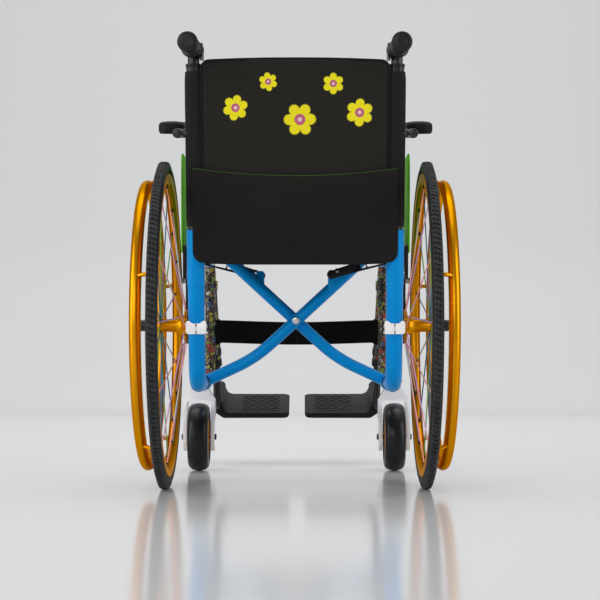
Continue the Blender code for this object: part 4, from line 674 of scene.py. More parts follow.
def placeCopies(holder, form, kind, body, smooth, **values):
    step = holder.modifiers.new("copies", "NODES")
    step.node_group, names = copyTrees[kind]
    for label, value in {"Form": form, **values}.items():
        step[names[label.replace("_", " ")]] = value
    made = settle(holder)
    bpy.data.objects.remove(form)
    shade(made, smooth)
    if body:
        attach(made, body)
    return made


def copiesAlong(name, lines, form, count, finish, body, jitter=0.0, closed=False):
    # lines are lists of points; form is a bmesh that lies along +Z at the origin
    curve = bpy.data.curves.new(name, "CURVE")
    curve.dimensions = "3D"
    for points in lines:
        spline = curve.splines.new("POLY")
        spline.points.add(len(points) - 1)
        for slotPoint, place in zip(spline.points, points):
            slotPoint.co = (*place, 1)
        spline.use_cyclic_u = closed
    return placeCopies(linkPiece(name, curve), meshPiece(name + "Form", form, False), "along", body, 40,
        Count=count, Finish=finish, Size_Jitter=jitter)


def copiesAround(name, form, centre, count, finish, body, smooth=40):
    # form is a bmesh laid out round the origin, which becomes the centre
    return placeCopies(linkPiece(name, bpy.data.meshes.new(name)), meshPiece(name + "Form", form),
        "around", body, smooth, Count=count, Finish=finish, Centre=tuple(centre))


# Rear wheels
wheel = {"x": 0.235, "tyreR": 0.295, "tyreHalf": 0.01, "treadCount": 190, "treadRise": 0.0016,
    "rimOut": 0.2731, "rimDepth": 0.019, "rimHalf": 0.0092, "handrimR": 0.2515, "handrimTube": 0.01,
    "handrimX": 0.2648, "tabCount": 5, "flangeR": 0.031, "flangeX": 0.1985, "outerX": 0.2445,
    "outerR": 0.0155, "shaftR": 0.0115, "spokesPerFlange": 12, "spokeR": 0.00115,
    "lean": math.radians(38),}


def hubAt(side):
    return at(side * wheel["x"], 0, chair["axleZ"])


def tyreSection(rise):
    r, half, bead = wheel["tyreR"] - rise, wheel["tyreHalf"], wheel["rimOut"] + 0.0004
    section = [(bead, -half * 0.62), (bead + 0.0025, -half * 0.72)]
    for share in shares(24):
        turn = math.pi * share
        grow = 0.36 + 0.64 * math.sin(turn)
        section.append((bead + (r - bead) * grow, -half * math.cos(turn)))
    section += [(bead + 0.0025, half * 0.72), (bead, half * 0.62)]
    return section


def treadBlock(low, high, width, slant):
    # one block of the tread on the crown, its foot sunk into the tyre
    bm = bmesh.new()
    top = wheel["tyreR"]
    pitch = 2 * math.pi * top / wheel["treadCount"]
    rings = []
    for r, trim in ((top - 0.003, 0.0), (top - 0.0002, 0.0), (top, 0.00035)):
        ring = []
        for x, y in ((low, -width), (high, -width), (high, width), (low, width)):
            dx = trim if x == low else -trim
            dy = trim if y < 0 else -trim
            shift = slant * (x - low) / (high - low)
            drop = (x / wheel["tyreHalf"]) ** 2 * 0.0022
            ring.append(bm.verts.new((x + dx, (y * pitch) + dy + shift * pitch, r - drop)))
        rings.append(ring)
    return loft(bm, rings)


def makeTyre(name, side, body):
    centre = hubAt(side)
    piece(name + "RearTyre", turned(tyreSection(wheel["treadRise"]), centre, segments=160, loop=True),
        tyreRubber, body, stands=name + "_rear_tyre", slot="tyre_rubber")
    rows = (("Left", -0.0066, -0.0026, 0.33, 0.3), ("Middle", -0.0017, 0.0017, 0.32, 0.0),
        ("Right", 0.0026, 0.0066, 0.33, -0.3))
    for row, low, high, width, slant in rows:
        copiesAround(f"{name}TyreTread{row}", treadBlock(low, high, width, slant), centre,
            wheel["treadCount"], treadRubber, body)


def makeRim(name, side, body):
    centre = hubAt(side)
    out, half = wheel["rimOut"], wheel["rimHalf"]
    low = out - wheel["rimDepth"]
    section = [(low, -half * 0.34), (low + 0.0012, -half * 0.6), (low + 0.005, -half * 0.93),
        (out - 0.004, -half), (out - 0.0006, -half), (out, -half * 0.93), (out, -half * 0.72),
        (out - 0.0035, -half * 0.66)]
    piece(name + "RearRim", turned(mirrored(section), centre, segments=160, loop=True), goldTurned,
        body, stands=name + "_rear_rim", slot="gold_anodised", smooth=28)
    nipple = bmesh.new()
    for lean in (-1, 1):
        turn = (0.25 + lean * 0.25) * 2 * math.pi / wheel["spokesPerFlange"]
        along = Vector((0, math.sin(turn), math.cos(turn)))
        spot = along * (low - 0.0065) + Vector((lean * side * 0.002, 0, 0))
        addTurned(nipple, [(0.0017, 0), (0.0019, 0.0008), (0.0019, 0.0035), (0.0026, 0.0042),
            (0.0026, 0.0074)], spot, segments=12, along=along)
    copiesAround(name + "RimNipples", nipple, centre, wheel["spokesPerFlange"], darkSteel, body)


def makeSpokes(name, side, body):
    centre = hubAt(side)
    count = wheel["spokesPerFlange"]
    reach = wheel["rimOut"] - wheel["rimDepth"] - 0.0018
    flanges = ((wheel["flangeX"], wheel["flangeR"] - 0.0042, 0.0012, -0.002, 0),
        (wheel["outerX"], wheel["outerR"] - 0.0026, 0.001, 0.002, 0.5))
    for index, finish in enumerate(spokeFinishes):
        x, startR, offset, rimX, phase = flanges[index // 2]
        way = 1 if index % 2 else -1
        atRim = 2 * math.pi * phase / count + (2 * math.pi / count if way > 0 else 0)
        atHub = atRim + way * wheel["lean"]
        hubEnd = Vector((side * (x - wheel["x"] + way * offset), math.sin(atHub) * startR,
            math.cos(atHub) * startR))
        rimEnd = Vector((side * rimX, math.sin(atRim) * reach, math.cos(atRim) * reach))
        along = (rimEnd - hubEnd).normalized()
        elbow = hubEnd + Vector((-side * way * 0.003, 0, 0))
        path = filleted([elbow, hubEnd, hubEnd + along * 0.02], 0.0018, 4)[:-1] + [rimEnd]
        spoke = tube(path, wheel["spokeR"], sideCount=10)
        addTurned(spoke, [(0.0019, 0), (0.0019, 0.0006), (0.001, 0.0013), (0, 0.0014)], elbow,
            along=(-side * way, 0, 0), segments=10)
        copiesAround(f"{name}Spokes{index + 1}", spoke, centre, count // 2, finish, body)


def makeHub(name, side, body):
    centre = hubAt(side)
    x, count = wheel["x"], wheel["spokesPerFlange"]
    holes = bmesh.new()
    for turn in angles(count):
        turn += math.pi / count
        spot = centre + Vector((side * (wheel["flangeX"] - x), math.cos(turn) * 0.0195,
            math.sin(turn) * 0.0195))
        addTurned(holes, [(0.0026, -0.01), (0.0026, 0.01)], spot, segments=16)
    for label, radius, depth, place, cuts in (("Flange", wheel["flangeR"], 0.003, wheel["flangeX"],
            [holes]), ("OuterFlange", wheel["outerR"], 0.0018, wheel["outerX"], [])):
        outline = []
        for turn in angles(count * 12):  # a lobe for each spoke
            r = radius - depth * (1 - abs(math.cos(turn * count / 2)) ** 0.6)
            outline.append((math.cos(turn) * r + centre.y, math.sin(turn) * r + centre.z))
        piece(f"{name}Hub{label}", slab(outline, "X", *spanned(side, place - 0.0018, place + 0.0018)),
            goldTurned, body, cuts=cuts, bevel=0.0005, slot="gold_anodised")
    near, far = wheel["flangeX"] - x, wheel["outerX"] - x
    r = wheel["shaftR"]
    section = [(0.0069, near - 0.002), (0.0105, near - 0.002), (0.012, near - 0.0012),
        (0.023, near - 0.001), (0.024, near), (0.0235, near + 0.0016), (r + 0.0075, near + 0.004),
        (r + 0.0035, near + 0.009), (r + 0.0008, near + 0.014), (r, near + 0.019), (r, far - 0.006),
        (r + 0.0008, far - 0.0025), (r + 0.0012, far), (r, far + 0.003), (r - 0.0015, far + 0.005),
        (0.0069, far + 0.0054)]
    piece(name + "HubShell", turned([(a, side * b) for a, b in section], centre, segments=72,
        loop=True), goldTurned, body, stands=name + "_rear_hub", slot="gold_anodised", smooth=28)
    seal = [(0.0068, side * (near - 0.0024)), (0.0098, side * (near - 0.0024)),
        (0.01, side * (near - 0.0016)), (0.0068, side * (near - 0.0016))]
    piece(name + "HubSeal", turned(seal, centre, loop=True), blackPlastic, body)


def makeHandrim(name, side, body):
    centre = at(side * wheel["handrimX"], 0, chair["axleZ"])
    r, half = wheel["handrimR"], wheel["handrimTube"]
    section = [(r + half * math.cos(turn), half * math.sin(turn)) for turn in angles(40)]
    piece(name + "Handrim", turned(section, centre, segments=192, loop=True), goldAnodised, body,
        stands=name + "_handrim", slot="gold_anodised", smooth=60)
    tab = bmesh.new()
    turn = 2 * math.pi * 0.25 / wheel["tabCount"]
    out = Vector((0, math.cos(turn), math.sin(turn)))
    rimSpot = (out * (wheel["rimOut"] - 0.0105) + Vector((
        side * (wheel["x"] + wheel["rimHalf"] - wheel["handrimX"] + 0.0003), 0, 0)))
    hand = out * (r + half * 0.25)
    bend = rimSpot + Vector((side * 0.006, 0, 0))
    addTube(tab, filleted([rimSpot, bend, hand], 0.004, 5), 0.0036, sideCount=16, up=out)
    addTurned(tab, [(0.0062, 0), (0.0062, 0.001), (0.0052, 0.0018), (0.0036, 0.002)], rimSpot,
        along=(side, 0, 0), segments=20)
    copiesAround(name + "HandrimTabs", tab, centre, wheel["tabCount"], goldAnodised, body)


def makeAxle(name, side):
    centre = hubAt(side)
    x = wheel["x"]
    capR, buttonR = 0.0105, 0.005
    end, out, inner = 0.2815 - x, 0.2504 - x, 0.16 - x
    section = [(buttonR + 0.0006, end - 0.0005), (capR - 0.003, end), (capR - 0.001, end - 0.0004),
        (capR, end - 0.0016), (capR, end - 0.0034), (capR - 0.0008, end - 0.004),
        (capR - 0.0008, end - 0.0048), (capR, end - 0.0054), (capR, end - 0.011),
        (capR - 0.0012, end - 0.0122), (0.0083, end - 0.013), (0.0083, out + 0.001), (0.0078, out),
        (0.0063, out), (0.0063, inner + 0.003), (0.005, inner + 0.0006), (0.0044, inner),
        (0.0014, inner), (0.0014, end - 0.007), (buttonR + 0.0006, end - 0.007)]
    piece(name + "WheelAxle", turned([(a, side * b) for a, b in section], centre, segments=48,
        loop=True), blackLacquer, name + "_axle", stands=name + "_wheel_axle", slot="black_metal",
        smooth=28)
    button = [(buttonR, end - 0.002), (buttonR, end + 0.0028), (buttonR - 0.0005, end + 0.0036),
        (buttonR - 0.0015, end + 0.004), (buttonR - 0.0028, end + 0.0036), (0, end + 0.0035)]
    piece(name + "AxleButton", turned([(a, side * b) for a, b in button], centre, segments=36),
        brightSteel, name + "_axle_release", stands=name + "_axle_button", slot="bright_steel")


for name, side in sides:
    body = name + "_wheel"
    makeTyre(name, side, body)
    makeRim(name, side, body)
    makeSpokes(name, side, body)
    makeHub(name, side, body)
    makeHandrim(name, side, body)
    makeAxle(name, side)
print("stage 4: rear wheels laced and fitted")


# Axle clamp, side frame, cane and push handle
clamp = {"height": 0.03, "half": 0.0183, "split": 0.0007, "bevel": 0.0024}
tubing = {"upright": 0.015, "collar": 0.0159, "rail": 0.0125, "post": 0.0105, "upper": 0.011,
    "lowerZ": 0.189, "upperZ": 0.432, "seamZ": 0.366, "collarZ": 0.464, "postX": 0.1805,
    "postY": 0.452, "bend": 0.045, "caneR": 0.013, "caneTop": 0.744}
armrestZ = 0.631  # height of the armrest's pivot on the cane
casterAt = {"x": 0.203, "stemY": 0.476, "y": 0.44, "z": 0.07}


def makeClamp(name, side, body):
    cx, z = side * chair["railX"], chair["axleZ"]
    half = clamp["half"]
    low, high, waist = -clamp["height"] * 0.53, clamp["height"] * 0.4, clamp["height"] * 0.1
    outline = roundOff([(z + low, cx + half), (z + low, cx - half), (z + high, cx - half),
        (z + waist, cx - half * 0.35), (z + waist, cx + half * 0.35), (z + high, cx + half)],
        [0.005, 0.005, 0.004, 0.003, 0.003, 0.004], 5)
    back, front = yAt(-0.0494), yAt(0.0132)
    split = slab(oblong(z, cx, 0.05, clamp["split"] / 2), "Y", back - 0.01, yAt(-0.031))
    bore = tube([at(side * 0.1, 0, z), at(side * 0.25, 0, z)], 0.0066, up=(0, 1, 0))
    lean = tube([onCane(side, z) - upLean * 0.06, onCane(side, z) + upLean * 0.06], 0.0152)
    piece(name + "AxleClamp", slab(outline, "Y", back, front), whiteLacquer, body,
        stands=name + "_axle_clamp", slot="white_lacquer", bevel=clamp["bevel"], steps=4,
        cuts=[split, bore, lean])
    marks = bmesh.new()  # rubber keys at both ends of the split
    for mid in (z + low + 0.0032, z + waist - 0.0032):
        addSlab(marks, oblong(mid, cx, 0.0026, 0.0009), "Y", back - 0.0003, back + 0.003)
    piece(name + "ClampKeys", marks, blackPlastic, body)
    screws = bmesh.new()
    for place in (-0.0105, 0.006):
        spot = at(side * (chair["railX"] - half - 0.0001), -0.042, z + place * 0.75)
        addScrew(screws, spot, (-side, 0, 0), 0.0034, 0.0018)
    piece(name + "ClampScrews", screws, blackLacquer, body)
    sleeve = [(0.0067, 0), (0.0095, 0), (0.01, 0.0006), (0.01, 0.002), (0.0067, 0.002)]
    piece(name + "AxleSleeve", turned(sleeve, at(cx - side * (half + 0.0019), 0, z), along=(side, 0, 0),
        segments=40, loop=True), blackPlastic, body)


def makeSideFrame(name, side, body):
    x, front = side * chair["railX"], side * tubing["postX"]
    lowZ, upZ, postY = tubing["lowerZ"], tubing["upperZ"], tubing["postY"]
    seam, top = onCane(side, tubing["seamZ"]), onCane(side, tubing["collarZ"])
    long, collarR = (top - seam).length, tubing["collar"]
    up, rail, post = tubing["upright"], tubing["rail"], tubing["post"]
    lower = filleted([seam, onCane(side, lowZ), at(x, 0.07, lowZ)], tubing["bend"], 14)
    lower += [at(x, 0.084, lowZ)]
    run = [at(x, y, lowZ) for y in (0.095, 0.27)]
    nose = filleted([at(front, 0.37, lowZ), at(front, postY, lowZ), at(front, postY, 0.3105)], 0.03, 10)
    over = filleted([at(front, postY, 0.3205), at(front, postY, upZ), at(front, 0.37, upZ)], 0.024, 10)
    collarFront = leanY(upZ) + collarR + 0.002
    path = lower + run + nose + over + [at(x, 0.27, upZ), at(x, collarFront - 0.006, upZ)]
    radii = [up] * len(lower) + [rail] * 3 + [post] * (len(nose) - 1)
    radii += [post] * (len(over) - 1) + [tubing["upper"]] * 3
    frameTube = tube(path, radii, sideCount=40)
    for face in frameTube.faces:  # the front posts are covered with patchwork film
        if face.calc_center_median().y > yAt(postY - 0.05):
            face.material_index = 1
    saddles = bmesh.new()
    for y in (0.035, 0.32):
        block = roundOff([(upZ - 0.008, side * 0.139), (upZ - 0.008, side * 0.172),
            (upZ + 0.006, side * 0.172), (0.4375, side * 0.157), (0.4375, side * 0.139)], 0.0018, 3)
        addSlab(saddles, block, "Y", yAt(y - 0.014), yAt(y + 0.014))
    rest = tube([at(side * 0.147, -0.04, 0.441), at(side * 0.147, 0.39, 0.441)], 0.0112)
    piece(name + "SideFrame", frameTube, [blueLacquer, patchwork], body, stands=name + "_side_frame",
        slot="blue_lacquer", smooth=30)
    piece(name + "SeatSaddles", saddles, blackPlastic, body, bevel=0.001, cuts=[rest])
    collar = [(up + 0.0001, 0.0), (collarR - 0.0006, 0.0), (collarR, 0.0006), (collarR, long - 0.001),
        (collarR - 0.0008, long), (0.0134, long), (0.0134, 0.03), (up * 0.5, 0.002)]
    piece(name + "Collar", turned(collar, seam + upLean * 0.0007, along=upLean, segments=56, loop=True),
        blueLacquer, body, slot="blue_lacquer", smooth=30)
    weld = [(up - 0.0004, -0.0016), (up + 0.0003, -0.0012), (up + 0.0003, 0.0006), (up - 0.0004, 0.001)]
    piece(name + "CollarSeam", turned(weld, seam, along=upLean, segments=56, loop=True), blueLacquer,
        body)
    ferrule = [(0.0111, 0.0), (0.0122, 0.0), (0.0122, 0.01), (0.0119, 0.011), (0.0111, 0.0114)]
    start = at(x, collarFront - 0.002, upZ)
    piece(name + "RailFerrule", turned(ferrule, start, along=(0, 1, 0), segments=40, loop=True),
        blueLacquer, body, slot="blue_lacquer")


def makeBarrel(name, side, body):
    x, y = side * casterAt["x"], casterAt["stemY"]
    low, high, r = 0.18, 0.228, 0.0185
    section = [(0.0064, low), (0.012, low), (0.0124, low + 0.0012), (r - 0.0012, low + 0.0012),
        (r, low + 0.0024), (r, high - 0.003), (r - 0.0014, high - 0.0012), (0.0126, high - 0.0004),
        (0.012, high), (0.0064, high)]
    barrel = turned(section, at(x, y, 0), axis="Z", segments=56, loop=True)
    post = at(side * tubing["postX"], tubing["postY"], 0)
    stem = at(x, y, 0)
    across = (stem - post).cross(Vector((0, 0, 1))).normalized() * 0.0085
    web = [post - across, stem - across, stem + across, post + across]
    piece(name + "CasterBarrel", barrel, blueLacquer, body, slot="blue_lacquer", smooth=30)
    hole = turned([(0.015, 0.15), (0.015, 0.25)], stem, axis="Z", segments=48)
    tubeHole = turned([(tubing["post"] - 0.001, 0.15), (tubing["post"] - 0.001, 0.25)], post, axis="Z",
        segments=40)
    piece(name + "BarrelWeb", slab([(p.x, p.y) for p in web], "Z", 0.185, 0.222), blueLacquer, body,
        slot="blue_lacquer", cuts=[hole, tubeHole], bevel=0.0012)
    for place, end in (("Low", low), ("High", high)):
        sign = -1 if place == "Low" else 1
        race = [(0.0066, end - sign * 0.0004), (0.0115, end - sign * 0.0004),
            (0.0112, end + sign * 0.0002), (0.0066, end + sign * 0.0002)]
        piece(f"{name}Barrel{place}Race", turned(race, at(x, y, 0), axis="Z", segments=40, loop=True),
            brightSteel, body)


def makeCane(name, side, body):
    low = onCane(side, tubing["collarZ"]) - upLean * 0.069
    top = onCane(side, tubing["caneTop"])
    length = (top - low).length
    r = tubing["caneR"]
    section = [(0.0106, 0), (r - 0.0006, 0), (r, 0.0006), (r, length - 0.001), (r - 0.0008, length),
        (0.0106, length)]
    piece(name + "BackCane", turned(section, low, along=upLean, segments=48, loop=True), blackLacquer,
        body, stands=name + "_back_cane", slot="black_lacquer", smooth=30)
    pivot = onCane(side, armrestZ)
    lug = [(0.0075, 0.004), (0.0075, 0.0198), (0.0068, 0.0206), (0.0035, 0.0207), (0.0035, 0.032),
        (0.003, 0.0327), (0, 0.0328)]
    piece(name + "ArmrestLug", turned(lug, pivot, along=(side, 0, 0), segments=36), blackLacquer, body,
        slot="black_lacquer", smooth=30)
    screws = bmesh.new()
    for z in (0.459, 0.383):
        spot = onCane(side, z) + Vector((side * (tubing["collar"] - 0.0004), 0, 0))
        addScrew(screws, spot, (side, 0, 0), 0.003, 0.001)
    piece(name + "CaneScrews", screws, darkSteel, body)


handle = {"z": 0.768, "postR": 0.0102, "tubeR": 0.011, "gripR": 0.0172, "start": 0.034,
    "length": 0.0924, "ribCount": 17, "droop": math.radians(4)}


def handlePivot(side):
    return at(side * chair["railX"], leanY(handle["z"]) - 0.0245, handle["z"])


def makeHandle(name, side, body):
    z = handle["z"]
    top = onCane(side, tubing["caneTop"])
    end = onCane(side, z) + upLean * 0.012
    length = (end - top).length
    r = handle["postR"]
    section = [(r, -0.049), (r, length - 0.003), (r - 0.0012, length - 0.0008), (r - 0.004, length),
        (0, length)]
    piece(name + "HandlePost", turned(section, top, along=upLean, segments=44), blackLacquer, body,
        stands=name + "_push_handle", slot="black_lacquer", smooth=30)
    collar = [(r + 0.0001, -0.001), (tubing["caneR"] + 0.001, -0.001), (tubing["caneR"] + 0.001, 0.004),
        (tubing["caneR"], 0.0052), (r + 0.0001, 0.0056)]
    piece(name + "PostCollar", turned(collar, top, along=upLean, segments=44, loop=True), blackPlastic,
        body, smooth=30)
    pivot = handlePivot(side)
    face = chair["railX"] - handle["tubeR"] - 0.0003
    y0, y1 = pivot.y - 0.011, yAt(leanY(z) + 0.01)
    ear = roundOff([(y0, z - 0.009), (y1, z - 0.014), (y1, z + 0.01), (y0, z + 0.012)], 0.0055, 6)
    ears = slab(ear, "X", *spanned(side, face - 0.0065, face))
    addSlab(ears, oblong(yAt(leanY(z) + 0.001), z - 0.002, 0.005, 0.008), "X",
        *spanned(side, face - 0.003, chair["railX"]))
    piece(name + "HandleEar", ears, blackLacquer, body, slot="black_lacquer", bevel=0.001)
    pin = bmesh.new()
    addTurned(pin, [(0.0034, -0.002), (0.0034, 0.0265), (0.003, 0.027)],
        Vector((side * (face - 0.003), pivot.y, pivot.z)), along=(side, 0, 0), segments=24)
    addScrew(pin, Vector((side * (face - 0.0065), pivot.y, pivot.z)), (-side, 0, 0), 0.005, 0.0018)
    piece(name + "HandlePin", pin, darkSteel, body)


def makeGrip(name, side, body):
    pivot = handlePivot(side)
    tilt = (handle["droop"], pivot)
    tubeR, gripR, start = handle["tubeR"], handle["gripR"], handle["start"]
    neck = [(0.0, 0.0094), (0.007, 0.0094), (tubeR - 0.0012, 0.0086), (tubeR, 0.007),
        (tubeR, -start - 0.004), (0.0, -start - 0.004)]
    bore = tube([pivot + Vector((-0.03, 0, 0)), pivot + Vector((0.03, 0, 0))], 0.0038, up=(0, 1, 0))
    piece(name + "GripTube", turned(neck, pivot, axis="Y", segments=44), blackLacquer, body,
        cuts=[bore], slot="black_lacquer", smooth=30, tilt=tilt)
    length = handle["length"]
    section = [(tubeR + 0.0002, -start), (gripR - 0.0022, -start), (gripR - 0.0004, -start - 0.0012),
        (gripR, -start - 0.0026), (gripR, -start - 0.007), (gripR - 0.0006, -start - 0.0086),
        (gripR - 0.0022, -start - 0.0094)]
    ribStart, ribEnd = start + 0.01, start + length - 0.011
    for k in range(handle["ribCount"]):
        place = ribStart + (ribEnd - ribStart) * k / handle["ribCount"]
        step = (ribEnd - ribStart) / handle["ribCount"]
        belly = 0.001 * math.sin(math.pi * k / (handle["ribCount"] - 1))
        section += [(gripR - 0.0034 + belly, -place), (gripR - 0.0034 + belly, -place - step * 0.3),
            (gripR - 0.002 + belly, -place - step * 0.46), (gripR - 0.002 + belly,
            -place - step * 0.84)]
    section += [(gripR - 0.0026, -ribEnd - 0.0004), (gripR - 0.0005, -ribEnd - 0.0016),
        (gripR, -ribEnd - 0.0034), (gripR, -ribEnd - 0.0064), (gripR - 0.0012, -ribEnd - 0.0088),
        (gripR - 0.004, -ribEnd - 0.0104), (gripR - 0.0085, -ribEnd - 0.011),
        (gripR - 0.0095, -ribEnd - 0.0104), (0.0, -ribEnd - 0.0102)]
    piece(name + "HandleGrip", turned(section, pivot, axis="Y", segments=72), gripRubber, body,
        stands=name + "_handle_grip", slot="grip_rubber", smooth=24, tilt=tilt)


for name, side in sides:
    body = name + "_frame"
    makeClamp(name, side, body)
    makeSideFrame(name, side, body)
    makeBarrel(name, side, body)
    makeCane(name, side, body)
    makeHandle(name, side, body)
    makeGrip(name, side, name + "_grip")
print("stage 5: clamps, side frames, canes and push handles made")


# Casters
caster = {"r": 0.07, "half": 0.0215, "seatR": 0.049, "legHalf": 0.0325, "legT": 0.0075, "crownZ": 0.179,
    "shoulderZ": 0.146, "spokeCount": 5}


def makeFork(name, side, body):
    x, y, z = side * casterAt["x"], casterAt["y"], casterAt["z"]
    half, t = caster["legHalf"], caster["legT"]
    top, shoulder, low = caster["crownZ"], caster["shoulderZ"], casterAt["z"] - 0.029
    arch = [(top, x - 0.012), (top, x + 0.012), (shoulder, x + half), (low, x + half),
        (low, x + half - t), (shoulder - 0.004, x + half - t),
        (shoulder - 0.0005, x + half - t - 0.006), (shoulder - 0.0005, x - half + t + 0.006),
        (shoulder - 0.004, x - half + t), (low, x - half + t), (low, x - half), (shoulder, x - half)]
    arch = roundOff(arch, [0.003, 0.003, 0.01, 0.001, 0.001, 0.003, 0.004, 0.004, 0.003, 0.001, 0.001,
        0.01], 6)
    stemY = casterAt["stemY"]
    shape = [(y - 0.015, low + 0.015), (y - 0.003, low), (y + 0.005, low), (y + 0.015, low + 0.012),
        (stemY + 0.018, shoulder - 0.006), (stemY + 0.018, top + 0.01), (stemY - 0.018, top + 0.01),
        (stemY - 0.024, shoulder + 0.004), (y - 0.015, z + 0.03)]
    shape = yz(roundOff(shape, [0.006, 0.004, 0.004, 0.006, 0.012, 0, 0, 0.008, 0.018], 5))
    window = roundOff([(y + 0.006, shoulder - 0.042), (stemY - 0.004, shoulder - 0.016),
        (stemY - 0.016, shoulder - 0.01), (y + 0.0, shoulder - 0.03)], 0.004, 4)
    fork = slab(arch, "Y", yAt(y - 0.015), yAt(stemY + 0.02))
    hole = turned([(0.0045, -0.06), (0.0045, 0.06)], at(x, y, z), segments=32)
    piece(name + "CasterFork", fork, whiteLacquer, body, stands=name + "_caster_fork",
        slot="white_lacquer", smooth=32, bevel=0.0016, steps=3, crisp=40,
        cuts=[slab(yz(window), "X", x - 0.06, x + 0.06), hole],
        keep=slab(shape, "X", x - 0.05, x + 0.05))
    cap = [(0.0063, 0.229), (0.0112, 0.229), (0.0116, 0.2296), (0.0116, 0.2312), (0.01, 0.2332),
        (0.006, 0.234), (0, 0.2341)]
    piece(name + "StemCap", turned(cap, at(x, stemY, 0), axis="Z", segments=40), blackPlastic, body,
        smooth=30)
    stem = [(0.006, top - 0.004), (0.006, 0.2284)]
    piece(name + "CasterStem", turned(stem, at(x, stemY, 0), axis="Z", segments=32), brightSteel, body)


def makeCasterWheel(name, side, body):
    centre = at(side * casterAt["x"], casterAt["y"], casterAt["z"])
    r, half, seat = caster["r"], caster["half"], caster["seatR"]
    section = [(seat, -half * 0.84), (seat + 0.0022, -half * 0.9), (seat + 0.003, -half * 0.9)]
    for share in shares(20):
        turn = math.pi * share
        section.append((seat + 0.0045 + (r - seat - 0.0045) * math.sin(turn) ** 0.62,
            -half * math.cos(turn)))
    section += [(seat + 0.003, half * 0.9), (seat + 0.0022, half * 0.9), (seat, half * 0.84)]
    piece(name + "CasterTyre", turned(section, centre, segments=112, loop=True), casterRubber, body,
        stands=name + "_caster_tyre", slot="caster_rubber", smooth=50)
    rim = seat - 0.0003
    section = [(rim - 0.0055, -half * 0.3), (rim - 0.004, -half * 0.78), (rim - 0.0016, -half * 0.84),
        (rim, -half * 0.8)]
    piece(name + "CasterRim", turned(mirrored(section), centre, segments=96, loop=True), goldTurned,
        body, stands=name + "_caster_rim", slot="gold_anodised", smooth=28)
    hub = [(0.0048, -half * 0.98), (0.01, -half * 0.98), (0.0112, -half * 0.9), (0.0125, -half * 0.38)]
    piece(name + "CasterHub", turned(mirrored(hub), centre, segments=48, loop=True), goldTurned, body,
        slot="gold_anodised", smooth=28)
    spoke = bmesh.new()
    low, high = 0.011, rim - 0.0035
    rings = []
    for place, wide, deep in ((low, 0.0056, 0.0062), (low + 0.006, 0.004, 0.0056),
            (high - 0.007, 0.0036, 0.0052), (high, 0.0062, 0.006)):
        rings.append([spoke.verts.new((a * deep, b * wide, place)) for a,
            b in ((-1, -0.7), (-0.7, -1), (0.7, -1), (1, -0.7), (1, 0.7), (0.7, 1), (-0.7, 1),
            (-1, 0.7))])
    loft(spoke, rings)
    copiesAround(name + "CasterSpokes", spoke, centre, caster["spokeCount"], goldTurned, body)


def makeCasterAxle(name, side, body):
    centre = at(side * casterAt["x"], casterAt["y"], casterAt["z"])
    out = caster["legHalf"] + 0.0003
    bolt = bmesh.new()
    addTurned(bolt, [(0, -out - 0.003), (0.003, -out - 0.003), (0.005, -out - 0.0034),
        (0.0063, -out - 0.0024), (0.0065, -out), (0.0042, -out), (0.0042, out), (0.0065, out),
        (0.0063, out + 0.0024), (0.005, out + 0.0034), (0.0032, out + 0.0034), (0.003, out + 0.0012),
        (0, out + 0.0012)], centre, segments=32)
    piece(name + "CasterBolt", bolt, blackLacquer, body, stands=name + "_caster_axle",
        slot="black_metal", smooth=30)


# Armrest, side guard and its holder
armrest = {"x": 0.2068, "z": armrestZ, "tubeR": 0.0085, "inX": 0.1985, "outX": 0.246,
    "top": armrestZ + 0.0212, "low": armrestZ - 0.0009, "back": -0.035, "length": 0.29,
    "tilt": math.radians(7.5)}


def makeArmrest(name, side, body):
    x, z, r = side * armrest["x"], armrest["z"], armrest["tubeR"]
    pivotY = leanY(z)
    tilt = (armrest["tilt"], at(x, pivotY, z))
    endY = armrest["back"] + armrest["length"] - 0.04
    path = [at(x, pivotY - 0.0105, z), at(x, pivotY - 0.0095, z), at(x, pivotY - 0.008, z),
        at(x, endY, z)]
    bore = tube([at(x - side * 0.02, pivotY, z), at(x + side * 0.0045, pivotY, z)], 0.0038,
        up=(0, 1, 0))
    piece(name + "ArmrestTube", tube(path, [r - 0.0026, r - 0.0006, r, r]), blackLacquer, body,
        stands=name + "_armrest_tube", slot="black_lacquer", cuts=[bore], smooth=30, tilt=tilt)
    low, high = spanned(side, armrest["inX"], armrest["outX"])
    middle = at((low + high) / 2, armrest["back"] + armrest["length"] / 2, 0)
    wide, long = (high - low) / 2, armrest["length"] / 2
    bm = bmesh.new()
    rings = []
    height = armrest["top"] - armrest["low"]
    steps = ((0.0, 0.0032), (0.12, 0.001), (0.3, 0.0), (0.62, 0.0), (0.78, 0.0008), (0.9, 0.003),
        (0.965, 0.0062), (1.0, 0.0115))
    for share, inset in steps:
        zHere = armrest["low"] + height * share
        corner = max(0.004, 0.016 - inset * 0.5)
        outline = roundOff(oblong(0, 0, wide - inset, long - inset), corner, 8)
        rings.append([bm.verts.new((middle.x + a, middle.y + b, zHere)) for a, b in outline])
    loft(bm, rings, caps=False)
    bm.faces.new(rings[0])
    top = bmesh.ops.extrude_face_region(bm, geom=[bm.faces.new(rings[-1])])
    crown = [v for v in top["geom"] if isinstance(v, bmesh.types.BMVert)]
    for vert in crown:
        vert.co.x = middle.x + (vert.co.x - middle.x) * 0.62
        vert.co.y = middle.y + (vert.co.y - middle.y) * 0.92
        vert.co.z += 0.0006
    groove = tube([at(x, -0.2, z), at(x, endY + 0.001, z)], r + 0.0003)
    pad = piece(name + "ArmrestPad", bm, padSkin, body, stands=name + "_armrest_pad", slot="pad_foam",
        cuts=[groove], smooth=50, tilt=tilt)


guard = {"x": 0.202, "thick": 0.003, "top": 0.605, "low": 0.426, "bead": 0.0105}


